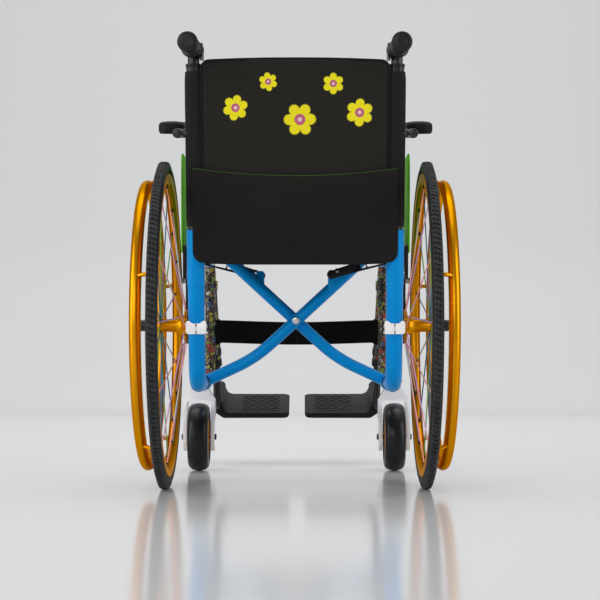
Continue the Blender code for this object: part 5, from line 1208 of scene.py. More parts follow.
def makeGuard(name, side, body):
    low, high = spanned(side, guard["x"], guard["x"] + guard["thick"])

    def edge(inset, radii, steps):
        corners = ((-0.03, guard["low"], 1, 1), (0.262, guard["low"], -1, 1), (0.262, 0.478, -1, -0.4),
            (0.19, 0.56, -0.6, -0.6), (0.06, guard["top"], -0.1, -1), (-0.03, guard["top"], 1, -1))
        return yz(roundOff([(y + inset * a, z + inset * b) for y, z, a, b in corners], radii, steps))

    outline = edge(0, [0.008, 0.01, 0.04, 0.07, 0.06, 0.018], 14)
    piece(name + "SideGuard", slab(outline, "X", low, high), greenPlastic, body,
        stands=name + "_side_guard", slot="green_plastic", bevel=0.0011, steps=3)
    face = side * (guard["x"] + guard["thick"])
    path = [Vector((face, y, z)) for y, z in edge(guard["bead"],
        [0.006, 0.008, 0.036, 0.066, 0.056, 0.014], 10)]
    piece(name + "GuardBead", tube(path + path[:1], 0.0007, sideCount=8, up=(1, 0, 0)), greenPlastic,
        body, slot="green_plastic")
    inX = guard["x"] - 0.0063
    low, high = spanned(side, inX, guard["x"] - 0.0003)
    shape = roundOff([(-0.034, 0.378), (-0.022, 0.378), (-0.012, 0.39), (0.09, 0.405), (0.09, 0.439),
        (-0.036, 0.439)], [0.004, 0.004, 0.01, 0.012, 0.006, 0.006], 6)
    window = roundOff([(-0.022, 0.394), (0.02, 0.404), (0.02, 0.428), (-0.022, 0.428)], 0.004, 4)
    piece(name + "GuardHolder", slab(yz(shape), "X", low, high), blackPlastic, body,
        stands=name + "_guard_holder", slot="black_plastic", bevel=0.0009,
        cuts=[slab(yz(window), "X", low - 0.01, high - 0.002 if side > 0 else high + 0.01)])
    bar = roundOff(oblong(0.021, 0.323, 0.006, 0.061), 0.003, 4)
    piece(name + "SideBar", slab(yz(bar), "X", *spanned(side, inX, inX + 0.0044)), blackPlastic, body,
        bevel=0.0008)
    upZ = tubing["upperZ"]
    low, high = spanned(side, chair["railX"] + 0.0066, inX + 0.001)
    seat = tube([at(side * chair["railX"], 0.0, upZ), at(side * chair["railX"], 0.1, upZ)], 0.0112)
    boss = roundOff(oblong(0.055, upZ - 0.001, 0.025, 0.008), 0.003, 4)
    piece(name + "HolderBoss", slab(yz(boss), "X", low, high), blackPlastic, body, cuts=[seat],
        bevel=0.0008)
    screws = bmesh.new()
    for y, z in ((0.042, 0.418), (0.07, 0.424), (-0.028, 0.386)):
        addScrew(screws, at(side * (inX - 0.0001), y, z), (-side, 0, 0), 0.0032, 0.0014)
    piece(name + "HolderScrews", screws, brightSteel, body, slot="bright_steel")


for name, side in sides:
    makeFork(name, side, name + "_caster")
    makeCasterAxle(name, side, name + "_caster")
    makeCasterWheel(name, side, name + "_caster_wheel")
    makeArmrest(name, side, name + "_armrest")
    makeGuard(name, side, name + "_frame")
print("stage 6: casters, armrests and side guards made")


# Wheel locks
brake = {"y": 0.312, "z": 0.372, "plateX": 0.192, "plateT": 0.0045, "angle": math.radians(52),
    "length": 0.125, "shoeR": 0.008}


def makeBrakeBase(name, side, body):
    y, z, upZ = brake["y"], brake["z"], tubing["upperZ"]
    low, high = spanned(side, brake["plateX"], brake["plateX"] + brake["plateT"])
    outline = roundOff([(y - 0.012, z - 0.012), (y + 0.012, z - 0.012), (y + 0.018, upZ - 0.006),
        (y + 0.018, upZ + 0.01), (y - 0.018, upZ + 0.01), (y - 0.018, upZ - 0.006)], 0.006, 6)
    hole = slab(yz(roundOff([(y - 0.007, z + 0.018), (y + 0.007, z + 0.018), (y + 0.009, upZ - 0.016),
        (y - 0.009, upZ - 0.016)], 0.004, 5)), "X", low - 0.01, high + 0.01)
    piece(name + "BrakePlate", slab(yz(outline), "X", low, high), blackLacquer, body,
        stands=name + "_brake_base", slot="black_metal", cuts=[hole], bevel=0.0007)
    low, high = spanned(side, chair["railX"] + 0.006, brake["plateX"] + 0.001)
    boss = roundOff(oblong(y, upZ, 0.014, 0.009), 0.003, 4)
    seat = tube([at(side * (chair["railX"] + 0.0015), 0.27, upZ),
        at(side * (chair["railX"] + 0.0035), 0.37, upZ)], 0.0116)
    piece(name + "BrakeBoss", slab(yz(boss), "X", low, high), blackPlastic, body, cuts=[seat],
        bevel=0.001)
    pins = bmesh.new()
    outer = brake["plateX"] + brake["plateT"]
    addTurned(pins, [(0.004, 0.0), (0.004, 0.008), (0.0034, 0.0086), (0, 0.0087)],
        at(side * outer, y, z), along=(side, 0, 0), segments=28)
    for dy in (-0.011, 0.011):
        addScrew(pins, at(side * outer, y + dy, upZ), (side, 0, 0), 0.0032, 0.0022)
    piece(name + "BrakePins", pins, darkSteel, body, smooth=30)


def makeBrakeLever(name, side, body):
    y, z = brake["y"], brake["z"]
    plateIn = brake["plateX"] + brake["plateT"] + 0.0003
    low, high = spanned(side, plateIn, plateIn + 0.005)
    hub = roundOff([(y + 0.011, z - 0.004), (y + 0.012, z + 0.008), (y + 0.032, z + 0.036),
        (y + 0.022, z + 0.044), (y + 0.004, z + 0.022), (y - 0.013, z + 0.03), (y - 0.02, z + 0.017),
        (y - 0.009, z - 0.006), (y, z - 0.01)], 0.003, 5)
    hole = turned([(0.0044, -0.02), (0.0044, 0.02)], at(side * plateIn, y, z), segments=32)
    piece(name + "BrakeLever", slab(yz(hub), "X", low, high), blackLacquer, body,
        stands=name + "_brake_lever", slot="black_metal", cuts=[hole], bevel=0.0008)
    mid = side * (plateIn + 0.0098)
    along = Vector((0, math.cos(brake["angle"]), math.sin(brake["angle"])))
    start = at(mid, y, z)
    rodForm = tube([at(side * (plateIn + 0.0027), y, z) + along * 0.027, start + along * 0.046,
        start + along * 0.074], [0.004, 0.0046, 0.0046], sideCount=24, up=(1, 0, 0))
    piece(name + "LeverRod", rodForm, blackLacquer, body, slot="black_metal")
    grip = [(0.0047, 0.068), (0.007, 0.069), (0.0082, 0.0715)]
    for k in range(7):
        grip += [(0.0084, 0.075 + k * 0.006), (0.0084, 0.0775 + k * 0.006),
            (0.0076, 0.0785 + k * 0.006), (0.0076, 0.0798 + k * 0.006)]
    end = brake["length"]
    grip += [(0.0084, end - 0.0085), (0.008, end - 0.004), (0.006, end - 0.001), (0.003, end), (0, end)]
    piece(name + "LeverGrip", turned(grip, start, along=along, segments=40), gripRubber, body,
        slot="grip_rubber", smooth=30)
    shoeAt = at(side * (plateIn + 0.005), y - 0.01, z + 0.018)
    length = abs(side * 0.245 - shoeAt.x)
    shoe = [(0.005, -0.004), (0.008, -0.003), (0.008, 0.004), (0.0072, 0.0048)]
    wide = (length - 0.008) / 9
    for k in range(9):
        place = 0.006 + wide * k
        shoe += [(0.0072, place), (0.008, place + wide * 0.22), (0.008, place + wide * 0.72),
            (0.0072, place + wide * 0.94)]
    shoe += [(0.0078, length - 0.0014), (0.0066, length - 0.0004), (0, length - 0.0002)]
    piece(name + "BrakeShoe", turned(shoe, shoeAt, along=(side, 0, 0), segments=36), brightSteel, body,
        slot="bright_steel", smooth=30)


# Hangers, latches, foot tubes, footplates and calf straps
hanger = {"topX": 0.182, "lowX": 0.1725, "topY": 0.483, "lowY": 0.545, "topZ": 0.42, "lowZ": 0.217,
    "r": 0.011, "tubeR": 0.008, "rings": ((0.385, 0.02), (0.247, 0.014)), "latchZ": 0.352}
plate = {"x": 0.172, "y": 0.59, "tilt": math.radians(15), "length": 0.15, "drop": 0.02, "thick": 0.0105,
    "innerX": 0.0165, "z": 0.111 + 0.02 / math.cos(math.radians(15))}
strap = {"z": 0.29, "height": 0.048, "thick": 0.003, "sag": 0.0042, "folded": 0.352}


def hangerAt(side, z):
    share = (hanger["topZ"] - z) / (hanger["topZ"] - hanger["lowZ"])
    return at(side * (hanger["topX"] + (hanger["lowX"] - hanger["topX"]) * share),
        hanger["topY"] + (hanger["lowY"] - hanger["topY"]) * share, z)


def makeHanger(name, side, body):
    top, low = hangerAt(side, hanger["topZ"]), hangerAt(side, hanger["lowZ"])
    down = (low - top).normalized()
    length = (low - top).length
    r = hanger["r"]
    section = [(0, -0.004), (r - 0.0045, -0.0038), (r - 0.0016, -0.0028), (r - 0.0003, -0.0008),
        (r, 0.001), (r, length - 0.0008), (r - 0.0006, length), (0.0083, length),
        (0.0083, length - 0.058), (0, length - 0.058)]
    piece(name + "Hanger", turned(section, top, along=down, segments=44), patchwork, body,
        stands=name + "_hanger", slot="black_metal", smooth=30)
    inner, outer = tubing["post"] + 0.0006, tubing["post"] + 0.0051
    for index, (z, height) in enumerate(hanger["rings"]):
        half, post = height / 2, at(side * tubing["postX"], tubing["postY"], z)
        ring = mirrored([(inner, -half), (outer - 0.0006, -half), (outer, -half + 0.0006)])
        piece(f"{name}PostRing{index}", turned(ring, post, axis="Z", segments=44, loop=True), patchwork,
            body, smooth=30)
        start = post + Vector((0, tubing["post"] + 0.004, 0))
        web = tube([start, hangerAt(side, z)], [0.0062, 0.007], sideCount=24)
        piece(f"{name}PostWeb{index}", web, blackPlastic, body)
        band = mirrored([(r + 0.0002, -height * 0.45), (r + 0.0016, -height * 0.45)])
        piece(f"{name}HangerBand{index}", turned(band, hangerAt(side, z), along=down, segments=40,
            loop=True), blackPlastic, body)
    end = [(r + 0.0001, length - 0.016), (r + 0.0012, length - 0.0152), (r + 0.0012, length - 0.0008),
        (r + 0.0004, length), (r + 0.0001, length)]
    piece(name + "HangerCollar", turned(end, top, along=down, segments=40, loop=True), blackPlastic,
        body, smooth=30)
    screw = bmesh.new()
    addScrew(screw, low - down * 0.008 + Vector((0, -r - 0.0008, 0)), (0, -1, -0.3), 0.0028, 0.0014)
    z = hanger["latchZ"]
    spot = hangerAt(side, z)
    face = abs(hangerAt(side, z + 0.048).x) + r + 0.0003
    addTurned(screw, [(0.003, -0.004), (0.003, 0.0052), (0.0026, 0.0058), (0, 0.0059)],
        Vector((side * face, spot.y, z)), along=(side, 0, 0), segments=24)
    piece(name + "HangerPins", screw, darkSteel, body)


def makeLatch(name, side, body):
    z = hanger["latchZ"]
    spot = hangerAt(side, z)
    y = spot.y
    face = abs(hangerAt(side, z + 0.048).x) + hanger["r"] + 0.0003
    outline = roundOff([(y - 0.006, z - 0.007), (y + 0.007, z - 0.007), (y + 0.003, z + 0.02),
        (y - 0.002, z + 0.046), (y - 0.012, z + 0.044), (y - 0.008, z + 0.018)], 0.0035, 6)
    hole = turned([(0.0034, -0.02), (0.0034, 0.02)], Vector((side * face, y, z)), segments=28)
    piece(name + "HangerLatch", slab(outline, "X", *spanned(side, face, face + 0.0045)), blackPlastic,
        body, stands=name + "_hanger_latch", slot="black_plastic", cuts=[hole], bevel=0.0009, steps=3)


def plateFrame(side):
    hinge = at(side * plate["x"], plate["y"], plate["z"])
    out = Vector((0, math.cos(plate["tilt"]), math.sin(plate["tilt"])))
    above = Vector((0, -math.sin(plate["tilt"]), math.cos(plate["tilt"])))
    return hinge, Vector((-side, 0, 0)), out, above


def makeFootTube(name, side, body):
    top, low = hangerAt(side, hanger["topZ"]), hangerAt(side, hanger["lowZ"])
    down = (low - top).normalized()
    hinge, _, out, _ = plateFrame(side)
    corner = hinge - out * 0.021
    path = [low - down * 0.0565] + filleted([low + down * 0.004, corner, hinge + out * 0.11], 0.016, 12)
    path.insert(-1, hinge - out * 0.002)
    path.insert(-1, hinge - out * 0.0015)
    radii = [hanger["tubeR"]] * (len(path) - 2) + [0.006] * 2
    piece(name + "FootTube", tube(path, radii, sideCount=36), blackLacquer, body,
        stands=name + "_foot_tube", slot="black_metal", smooth=40)


def makeFootplate(name, side, body):
    hinge, across, out, above = plateFrame(side)
    reach = plate["x"] - plate["innerX"]
    drop, t, long = plate["drop"], plate["thick"], plate["length"]
    section = [(-0.004, 0.006), (0.006, 0.004), (0.016, -drop + 0.004), (0.026, -drop),
        (reach - 0.001, -drop), (reach, -drop - 0.002), (reach, -drop - t + 0.004),
        (reach - 0.004, -drop - t), (0.012, -drop - t), (-0.006, -drop + 0.002)]
    section = roundOff(section, [0.002, 0.004, 0.006, 0.008, 0.0008, 0.0008, 0.003, 0.003, 0.008,
        0.004], 6)

    def spot(v, u, w):
        return hinge + out * u + across * v + above * w

    bm, outer = bmesh.new(), bmesh.new()
    loft(bm, [[bm.verts.new(spot(v, u, w)) for v, w in section] for u in (0.0, long)])
    corner = roundOff([(-0.03, -0.01), (-0.03, long + 0.01), (0.03, long + 0.01), (0.05, long - 0.0005),
        (reach - 0.0005, long - 0.0005), (reach - 0.0005, 0.0005), (0.05, 0.0005), (0.03, -0.01)],
        [0, 0, 0, 0, 0.016, 0.016, 0, 0], 10)
    loft(outer, [[outer.verts.new(spot(v, u, w)) for v, u in corner] for w in (-0.06, 0.03)])
    piece(name + "Footplate", bm, treadPlastic, body, stands=name + "_footplate", slot="black_plastic",
        smooth=32, keep=outer, bevel=0.0008, crisp=45)
    knuckle = [(0.0064, 0.001), (0.0098, 0.001), (0.0105, 0.0018), (0.0105, long - 0.0018),
        (0.0098, long - 0.001), (0.005, long - 0.001), (0.005, 0.112), (0.0064, 0.112)]
    piece(name + "PlateKnuckle", turned(knuckle, hinge, along=out, segments=40, loop=True),
        treadPlastic, body, slot="black_plastic", smooth=30)
    rows = 8
    tread = bmesh.new()
    for row in range(rows):
        u = 0.022 + (long - 0.042) * row / (rows - 1)
        start = 0.05 + 0.004 * (row % 2)
        line = []
        for share in shares(60):
            v = start + 0.08 * share
            wave = math.sin(v * 2 * math.pi / 0.02) * 0.0026 * (1 if row % 2 else -1)
            line.append(spot(v, u + wave, -drop + 0.0001))
        addTube(tread, line, 0.0011, sideCount=8, up=above)
    piece(name + "PlateTread", tread, treadPlastic, body, slot="black_plastic")
    lip = [spot(0.03 + (reach - 0.046) * share, 0.0022, -drop - 0.0004) for share in shares(40)]
    piece(name + "PlateLip", tube(lip, 0.0016, sideCount=12, up=above), treadPlastic, body,
        slot="black_plastic")


def sewCloth(bm, columns, rows, spotOf, isTaped=lambda i, j: False, hem=0):
    # two skins of a grid become one closed cloth, with tape where it is asked for
    skins = [[[bm.verts.new(spotOf(layer, column, row)) for row in rows] for column in columns]
        for layer in (0, 1)]
    far, high = len(columns) - 1, len(rows) - 1
    for skin in skins:
        for i in range(far):
            for j in range(high):
                face = bm.faces.new((skin[i][j], skin[i + 1][j], skin[i + 1][j + 1], skin[i][j + 1]))
                face.material_index = int(isTaped(i, j))
    rim = [(i, 0) for i in range(far)] + [(far, j) for j in range(high)]
    rim += [(i, high) for i in range(far, 0, -1)] + [(0, j) for j in range(high, 0, -1)]
    for (a, b), (i, j) in zip(rim[-1:] + rim, rim):
        face = bm.faces.new((skins[0][a][b], skins[0][i][j], skins[1][i][j], skins[1][a][b]))
        face.material_index = hem
    return skins


def makeCalfStrap(name, side, body):
    low, high = strap["z"] - strap["height"] / 2, strap["z"] + strap["height"] / 2
    bottom, top = hangerAt(side, low), hangerAt(side, high)
    back = hanger["r"] + strap["thick"] + 0.0003
    end = side * 0.00002

    def spotOf(layer, share, up):
        z = low + (high - low) * up
        mid = hangerAt(side, z)
        x = mid.x + (end - mid.x) * share
        sag = -strap["sag"] * math.sin(share * math.pi / 2) ** 1.5
        ripple = 0.0005 * noise.noise(Vector((x * 30, z * 40, side)))
        curl = 0.001 * (2 * up - 1) ** 2 * share
        return x, mid.y - back + layer * 0.0022 + ripple * share + curl, z + sag

    bm = bmesh.new()
    sewCloth(bm, shares(44), shares(10), spotOf)
    band = piece(name + "CalfStrap", bm, strapWeb, body, stands=name + "_calf_strap",
        slot="black_fabric")
    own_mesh(band)
    length = (top - bottom).length
    loop = [(hanger["r"] + 0.0004, 0), (back - 0.0002, 0), (back, 0.0008), (back, length - 0.0008),
        (back - 0.0002, length), (hanger["r"] + 0.0004, length)]
    piece(name + "StrapLoop", turned(loop, bottom, along=top - bottom, segments=44, loop=True),
        strapWeb, body, slot="black_fabric", smooth=30)


for name, side in sides:
    makeBrakeBase(name, side, name + "_frame")
    makeBrakeLever(name, side, name + "_brake")
    makeHanger(name, side, name + "_leg")
    makeLatch(name, side, name + "_latch")
    makeFootTube(name, side, name + "_leg")
    makeFootplate(name, side, name + "_plate")
    makeCalfStrap(name, side, name + "_leg")
print("stage 7: wheel locks, hangers and footplates made")


# Cross-brace, pivot bolt and stabiliser links
brace = {"pivotZ": 0.3063, "y": 0.15, "r": 0.011, "gap": 0.002, "railX": 0.147, "railZ": 0.441,
    "railR": 0.011, "back": -0.03, "front": 0.375, "sleeveR": 0.0158, "sleeve": 0.06, "lugX": 0.078,
    "lugZ": 0.399, "footSlope": math.radians(25)}


def makeArm(name, lowSide, body):
    y = brace["y"] + lowSide * (brace["r"] + brace["gap"] / 2)
    lowZ, highX, highZ = tubing["lowerZ"], brace["railX"], brace["railZ"]
    slope = (highZ - brace["pivotZ"]) / highX
    foot = math.tan(brace["footSlope"])
    kneeX = (brace["pivotZ"] - lowZ - foot * chair["railX"]) / (slope - foot)
    low = at(lowSide * chair["railX"], y, lowZ)
    knee = at(lowSide * kneeX, y, brace["pivotZ"] - slope * kneeX)
    high = at(-lowSide * highX, y, highZ)
    path = filleted([low + (knee - low).normalized() * 0.011, knee,
        high - (high - knee).normalized() * 0.006], 0.25, 22)
    arm = tube(path, brace["r"], sideCount=32, up=(0, 1, 0))
    bolt = turned([(0.0044, -0.03), (0.0044, 0.03)], at(0, y, brace["pivotZ"]), axis="Y", segments=28)
    bore = tube([at(lowSide * chair["railX"], 0, lowZ), at(lowSide * chair["railX"], 0.3, lowZ)],
        0.0134)
    piece(name + "CrossArmTube", arm, blueLacquer, body, stands=name + "_cross_arm",
        slot="dark_blue_lacquer", cuts=[bolt, bore])
    half, r = brace["sleeve"] / 2, brace["sleeveR"]
    sleeve = mirrored([(0.0132, -half), (r - 0.0008, -half), (r, -half + 0.0008)])
    piece(name + "CrossArmSleeve", turned(sleeve, at(low.x, brace["y"], lowZ), axis="Y", segments=52,
        loop=True), blueLacquer, body, slot="dark_blue_lacquer", smooth=30)
    bush = bmesh.new()
    for end in (-1, 1):
        ring = [(0.0131, end * half), (0.015, end * half), (0.0147, end * (half + 0.0012)),
            (0.0131, end * (half + 0.0012))]
        addTurned(bush, ring, at(low.x, brace["y"], lowZ), axis="Y", segments=48, loop=True)
    piece(name + "CrossArmBushes", bush, blackPlastic, body)
    long = brace["front"] - brace["back"]
    rail = [(0, 0), (brace["railR"] - 0.003, 0), (brace["railR"] - 0.0006, 0.001),
        (brace["railR"], 0.003), (brace["railR"], long - 0.003),
        (brace["railR"] - 0.0006, long - 0.001), (brace["railR"] - 0.003, long), (0, long)]
    piece(name + "CrossArmSeatRail", turned(rail, at(high.x, brace["back"], highZ), along=(0, 1, 0),
        segments=44), blackLacquer, body, slot="dark_blue_lacquer", smooth=30)
    bead = bmesh.new()
    along = (high - knee).normalized()
    addTurned(bead, [(brace["r"] - 0.001, -0.015), (brace["r"] + 0.0002, -0.014),
        (brace["r"] + 0.0018, -0.0118), (brace["r"] + 0.0004, -0.0095)], high, along=along,
        segments=40)
    piece(name + "CrossArmWeld", bead, blueLacquer, body, slot="dark_blue_lacquer")


def makeLug(name, lowSide, body):
    y = brace["y"] + lowSide * (brace["r"] + brace["gap"] / 2)
    slope = (brace["railZ"] - brace["pivotZ"]) / brace["railX"]
    x = -lowSide * brace["lugX"]
    tip = Vector((x, 0, brace["lugZ"]))
    inner = x + lowSide * 0.0175
    outer = x - lowSide * 0.018
    armAt = [brace["pivotZ"] + slope * abs(place) for place in (inner, outer)]
    outline = roundOff([(armAt[0] - 0.002, inner), (armAt[1] - 0.002, outer),
        (tip.z + 0.003, x - lowSide * 0.01), (tip.z + 0.003, inner)], [0.001, 0.001, 0.006, 0.005], 8)
    low, high = sorted((y + lowSide * 0.0055, y + lowSide * brace["r"]))
    piece(name + "CrossArmLug", slab(outline, "Y", yAt(low), yAt(high)), blueLacquer, body, bevel=0.001,
        steps=3)
    face = y + lowSide * brace["r"]
    pins = bmesh.new()
    addTurned(pins, [(0.0036, -0.003), (0.0036, 0.0053), (0.0024, 0.0054), (0.0024, 0.0072),
        (0.0018, 0.0078), (0, 0.0079)], at(x, face, brace["lugZ"]), along=(0, lowSide, 0), segments=28)
    addTurned(pins, [(0.0034, -0.001), (0.0034, 0.0008), (0.0026, 0.0014), (0, 0.0015)],
        at(x, y + lowSide * 0.0055, brace["lugZ"]), along=(0, -lowSide, 0), segments=28)
    piece(name + "CrossArmLugPin", pins, brightSteel, body, slot="bright_steel")
    washer = [(0.0026, 0.0054), (0.006, 0.0054), (0.006, 0.0064), (0.0054, 0.0069), (0.0026, 0.0069)]
    piece(name + "CrossArmLugWasher", turned(washer, at(x, face, brace["lugZ"]), along=(0, lowSide, 0),
        segments=28, loop=True), blackPlastic, body, smooth=30)


def makeBolt(body):
    out = 2 * brace["r"] + brace["gap"] / 2 + 0.0003
    centre = at(0, brace["y"], brace["pivotZ"])
    profile = [(0, -out - 0.0022), (0.0034, -out - 0.0022), (0.0036, -out - 0.0042),
        (0.0056, -out - 0.004), (0.0072, -out - 0.0024), (0.0075, -out), (0.004, -out), (0.004, out),
        (0.0075, out), (0.0075, out + 0.0036), (0.0068, out + 0.0042), (0.004, out + 0.0042),
        (0.004, out + 0.005), (0, out + 0.005)]
    piece("PivotBolt", turned(profile, centre, axis="Y", segments=36), brightSteel, body,
        stands="pivot_bolt", slot="bright_steel", smooth=30)


def makeLink(name, side, body):
    armWay = -side
    y = brace["y"] + armWay * (2 * brace["r"] + brace["gap"] / 2 + 0.0006)
    yLow, yHigh = sorted((y, y + armWay * 0.004))
    yLow, yHigh = yAt(yLow), yAt(yHigh)
    ringAt = Vector((side * chair["railX"], 0, tubing["upperZ"]))
    endAt = Vector((side * brace["lugX"], 0, brace["lugZ"]))
    along = (endAt - ringAt).normalized()
    above = Vector((-along.z, 0, along.x)) * (1 if along.x > 0 else -1)
    length = (endAt - ringAt).length

    def plan(points, radius):
        spots = [ringAt + along * a + above * b for a, b in roundOff(points, radius, 6)]
        return [(p.z, p.x) for p in spots]

    outer = plan([(0, -0.0175), (0, 0.005), (length, 0.005), (length + 0.019, 0.0045),
        (length + 0.021, -0.002), (length + 0.017, -0.0105), (length - 0.016, -0.0115)],
        [0.001, 0.001, 0.004, 0.004, 0.004, 0.004, 0.004])
    w = 0.0026
    cuts = []
    panes = ((0.018, 0.0475), (0.0475 + w, 0.06))
    for a0, a1 in panes:
        window = plan([(a0, -0.0175 + w + a0 * 0.1), (a0, 0.005 - w), (a1, 0.005 - w),
            (a1, -0.0175 + w + a1 * 0.1)], 0.0014)
        cuts.append(slab(window, "Y", yLow - 0.02, yHigh + 0.02))
    middle = (yLow + yHigh) / 2
    rail = Vector((ringAt.x, middle, ringAt.z))
    bore = turned([(0.0116, -0.03), (0.0116, 0.03)], rail, axis="Y", segments=48)
    piece(name + "StabiliserLink", slab(outer, "Y", yLow, yHigh), blackPlastic, body,
        stands=name + "_stabiliser_link", slot="black_plastic", cuts=cuts + [bore], bevel=0.0006)
    ring = mirrored([(0.0116, -0.006), (0.0142, -0.006), (0.015, -0.0052)])
    piece(name + "LinkRing", turned(ring, rail, axis="Y", segments=48, loop=True), blackPlastic, body,
        slot="black_plastic", smooth=30)


for name, side in sides:
    makeArm(name, side, name + "_arm")
    makeLug(name, side, name + "_arm")
    makeLink(name, side, name + "_link")
makeBolt("left_arm")
print("stage 8: cross-brace and links made")


# Back upholstery: padded panel, pocket flap, cane sleeves
back = {"low": 0.423, "top": 0.756, "half": 0.1622, "corner": 0.012, "crown": 0.004, "rear": -0.016,
    "front": -0.005, "puff": 0.0032, "voxel": 0.005, "pressure": 4.0, "flapHalf": 0.1812,
    "flapTop": 0.572, "flapLow": 0.408, "bow": 0.0064, "dip": 0.0128, "flapR": 0.015, "flapT": 0.0026,
    "flapRear": -0.0195, "tape": 0.0058, "greenStitches": 104, "caneR": 0.013, "sleeveR": 0.0157,
    "sleeveLow": 0.469, "sleeveTop": 0.7345, "ribs": 26, "ribDepth": 0.00045, "slotR": 0.0085,
    "stitch": 0.003, "threadR": 0.00042, "foldedBetween": 0.283, "foldedAcross": 0.343,}


def backAt(x, z, v):  # v is the distance in front of the canes' centre line
    return at(x, leanY(z) + v, z)


def edgeInset(x, z):  # how far inside the panel's outline a point lies
    r = back["corner"]
    midZ, halfZ = (back["low"] + back["top"]) / 2, (back["top"] - back["low"]) / 2
    dx, dz = abs(x) - back["half"] + r, abs(z - midZ) - halfZ + r
    outside = math.hypot(max(dx, 0), max(dz, 0))
    return r - outside - min(max(dx, dz), 0)


def panelOutline(inset):
    half, low, top = back["half"] - inset, back["low"] + inset, back["top"] - inset
    crown = [(half * t, top - back["crown"] * abs(t) ** 2.4)
        for t in (0.85, 0.6, 0.3, 0, -0.3, -0.6, -0.85)]
    shoulder = top - back["crown"]
    r = max(back["corner"] - inset, 0.003)
    corners = [(-half, low), (half, low), (half, shoulder)] + crown + [(-half, shoulder)]
    return roundOff(corners, [r * 0.5, r * 0.5, r] + [0] * len(crown) + [r])


def puffed(name, bm, voxel, cap, pressure, isHeld, frames=20):
    # cloth inflated from a closed form; held points stay and none moves past the cap
    made = meshPiece(name, bm)
    even = made.modifiers.new("even", "REMESH")
    even.mode = "VOXEL"
    even.voxel_size = voxel
    ease = made.modifiers.new("ease", "SMOOTH")
    ease.factor = 0.5
    ease.iterations = 3
    settle(made)
    rest = [v.co.copy() for v in made.data.vertices]
    held = made.vertex_groups.new(name="held")
    held.add([i for i, place in enumerate(rest) if isHeld(place)], 1.0, "REPLACE")
    cloth = made.modifiers.new("cloth", "CLOTH")
    cloth.settings.quality = 5
    cloth.settings.use_pressure = True
    cloth.settings.uniform_pressure_force = pressure
    cloth.settings.effector_weights.gravity = 0
    cloth.settings.vertex_group_mass = "held"
    cloth.point_cache.frame_start = 1
    cloth.point_cache.frame_end = frames
    for step in range(1, frames + 1):
        bpy.context.scene.frame_set(step)
    settle(made)
    bpy.context.scene.frame_set(1)
    for vertex, start in zip(made.data.vertices, rest):
        moved = vertex.co - start
        if moved.length > cap:
            vertex.co = start + moved * (cap / moved.length)
    return made


def laidOn(made, points, ahead, lift=0.0):  # points moved along Y onto the piece's skin
    tree = BVHTree.FromObject(made, bpy.context.evaluated_depsgraph_get())
    placed = []
    for point in points:
        start = point + Vector((0, 0.1 * ahead, 0))
        spot = tree.ray_cast(start, Vector((0, -ahead, 0)))[0] or point
        placed.append(spot + Vector((0, lift * ahead, 0)))
    return placed


def stitchForm(length, radius, squashed=0.6):
    form = bmesh.new()
    bmesh.ops.create_uvsphere(form, u_segments=6, v_segments=4, radius=1.0)
    for vertex in form.verts:
        vertex.co = Vector((vertex.co.x * radius, vertex.co.y * radius * squashed,
            vertex.co.z * length / 2))
    return form


def foldBack(made):  # the cloth rides on the left frame, with a mesh of its own
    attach(made, "left_frame")
    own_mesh(made)


def makeBackPanel():
    bm = bmesh.new()
    loft(bm, [[bm.verts.new(backAt(x, z, v)) for x, z in panelOutline(0.0)]
        for v in (back["rear"], back["front"])])
    made = puffed("backPanel", bm, back["voxel"], back["puff"], back["pressure"],
        lambda p: edgeInset(p.x, p.z) < 0.006)
    made.data.materials.clear()
    made.data.materials.append(backCloth)
    finer = made.modifiers.new("finer", "SUBSURF")
    finer.levels = finer.render_levels = 1
    settle(made)
    for vertex in made.data.vertices:  # sewn channels press both skins in
        x, z = vertex.co.x, vertex.co.z
        behind = vertex.co.y - yAt(leanY(z)) < (back["rear"] + back["front"]) / 2
        depth = 0.0011 * math.exp(-((edgeInset(x, z) - 0.012) / 0.0022) ** 2)
        if not behind:
            depth += 0.0016 * math.exp(-((abs(x) - 0.088) / 0.0026) ** 2)
            depth += 0.0016 * math.exp(-((z - 0.585) / 0.0026) ** 2)
        ripple = 0.0006 * noise.noise(Vector((x * 26, z * 17, 2.0 if behind else 7.0)))
        vertex.co.y += (depth if behind else -depth) + ripple
    made.data.shade_smooth()
    foldBack(made)
    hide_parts("back_sling")
    return made


def makePanelTrim(panel):
    middle = (back["rear"] + back["front"]) / 2
    path = [backAt(x, z, middle) for x, z in panelOutline(-0.0004)]
    bm = bmesh.new()
    rings = []
    for i, place in enumerate(path):
        along = (path[(i + 1) % len(path)] - path[i - 1]).normalized()
        outward = along.cross(Vector((0, 1, 0))).normalized()
        rings.append([bm.verts.new(place + outward * 0.0021 * math.cos(turn)
            + Vector((0, 0.0042 * math.sin(turn), 0))) for turn in angles(10)])
    loft(bm, rings + rings[:1], caps=False)
    trim = piece("backBinding", bm, bindingTape, None, slot="black_fabric", smooth=60)
    foldBack(trim)
    for label, ahead in (("Rear", -1), ("Front", 1)):
        inset = [backAt(x, z, middle) for x, z in panelOutline(0.012)]
        line = laidOn(panel, filled(inset + inset[:1], 0.012), ahead, -0.0001)
        foldBack(copiesAlong("backSeam" + label, [line], stitchForm(back["stitch"], back["threadR"]),
            250, blackThread, None))


def filled(points, gap):  # points added so that none are further apart than the gap
    path = []
    for start, end in zip(points, points[1:]):
        steps = max(1, round((end - start).length / gap))
        path += [start.lerp(end, k / steps) for k in range(steps)]
    return path + [points[-1]]


def flapTopAt(x):
    return back["flapTop"] - back["dip"] * (1 - (x / back["flapHalf"]) ** 2)


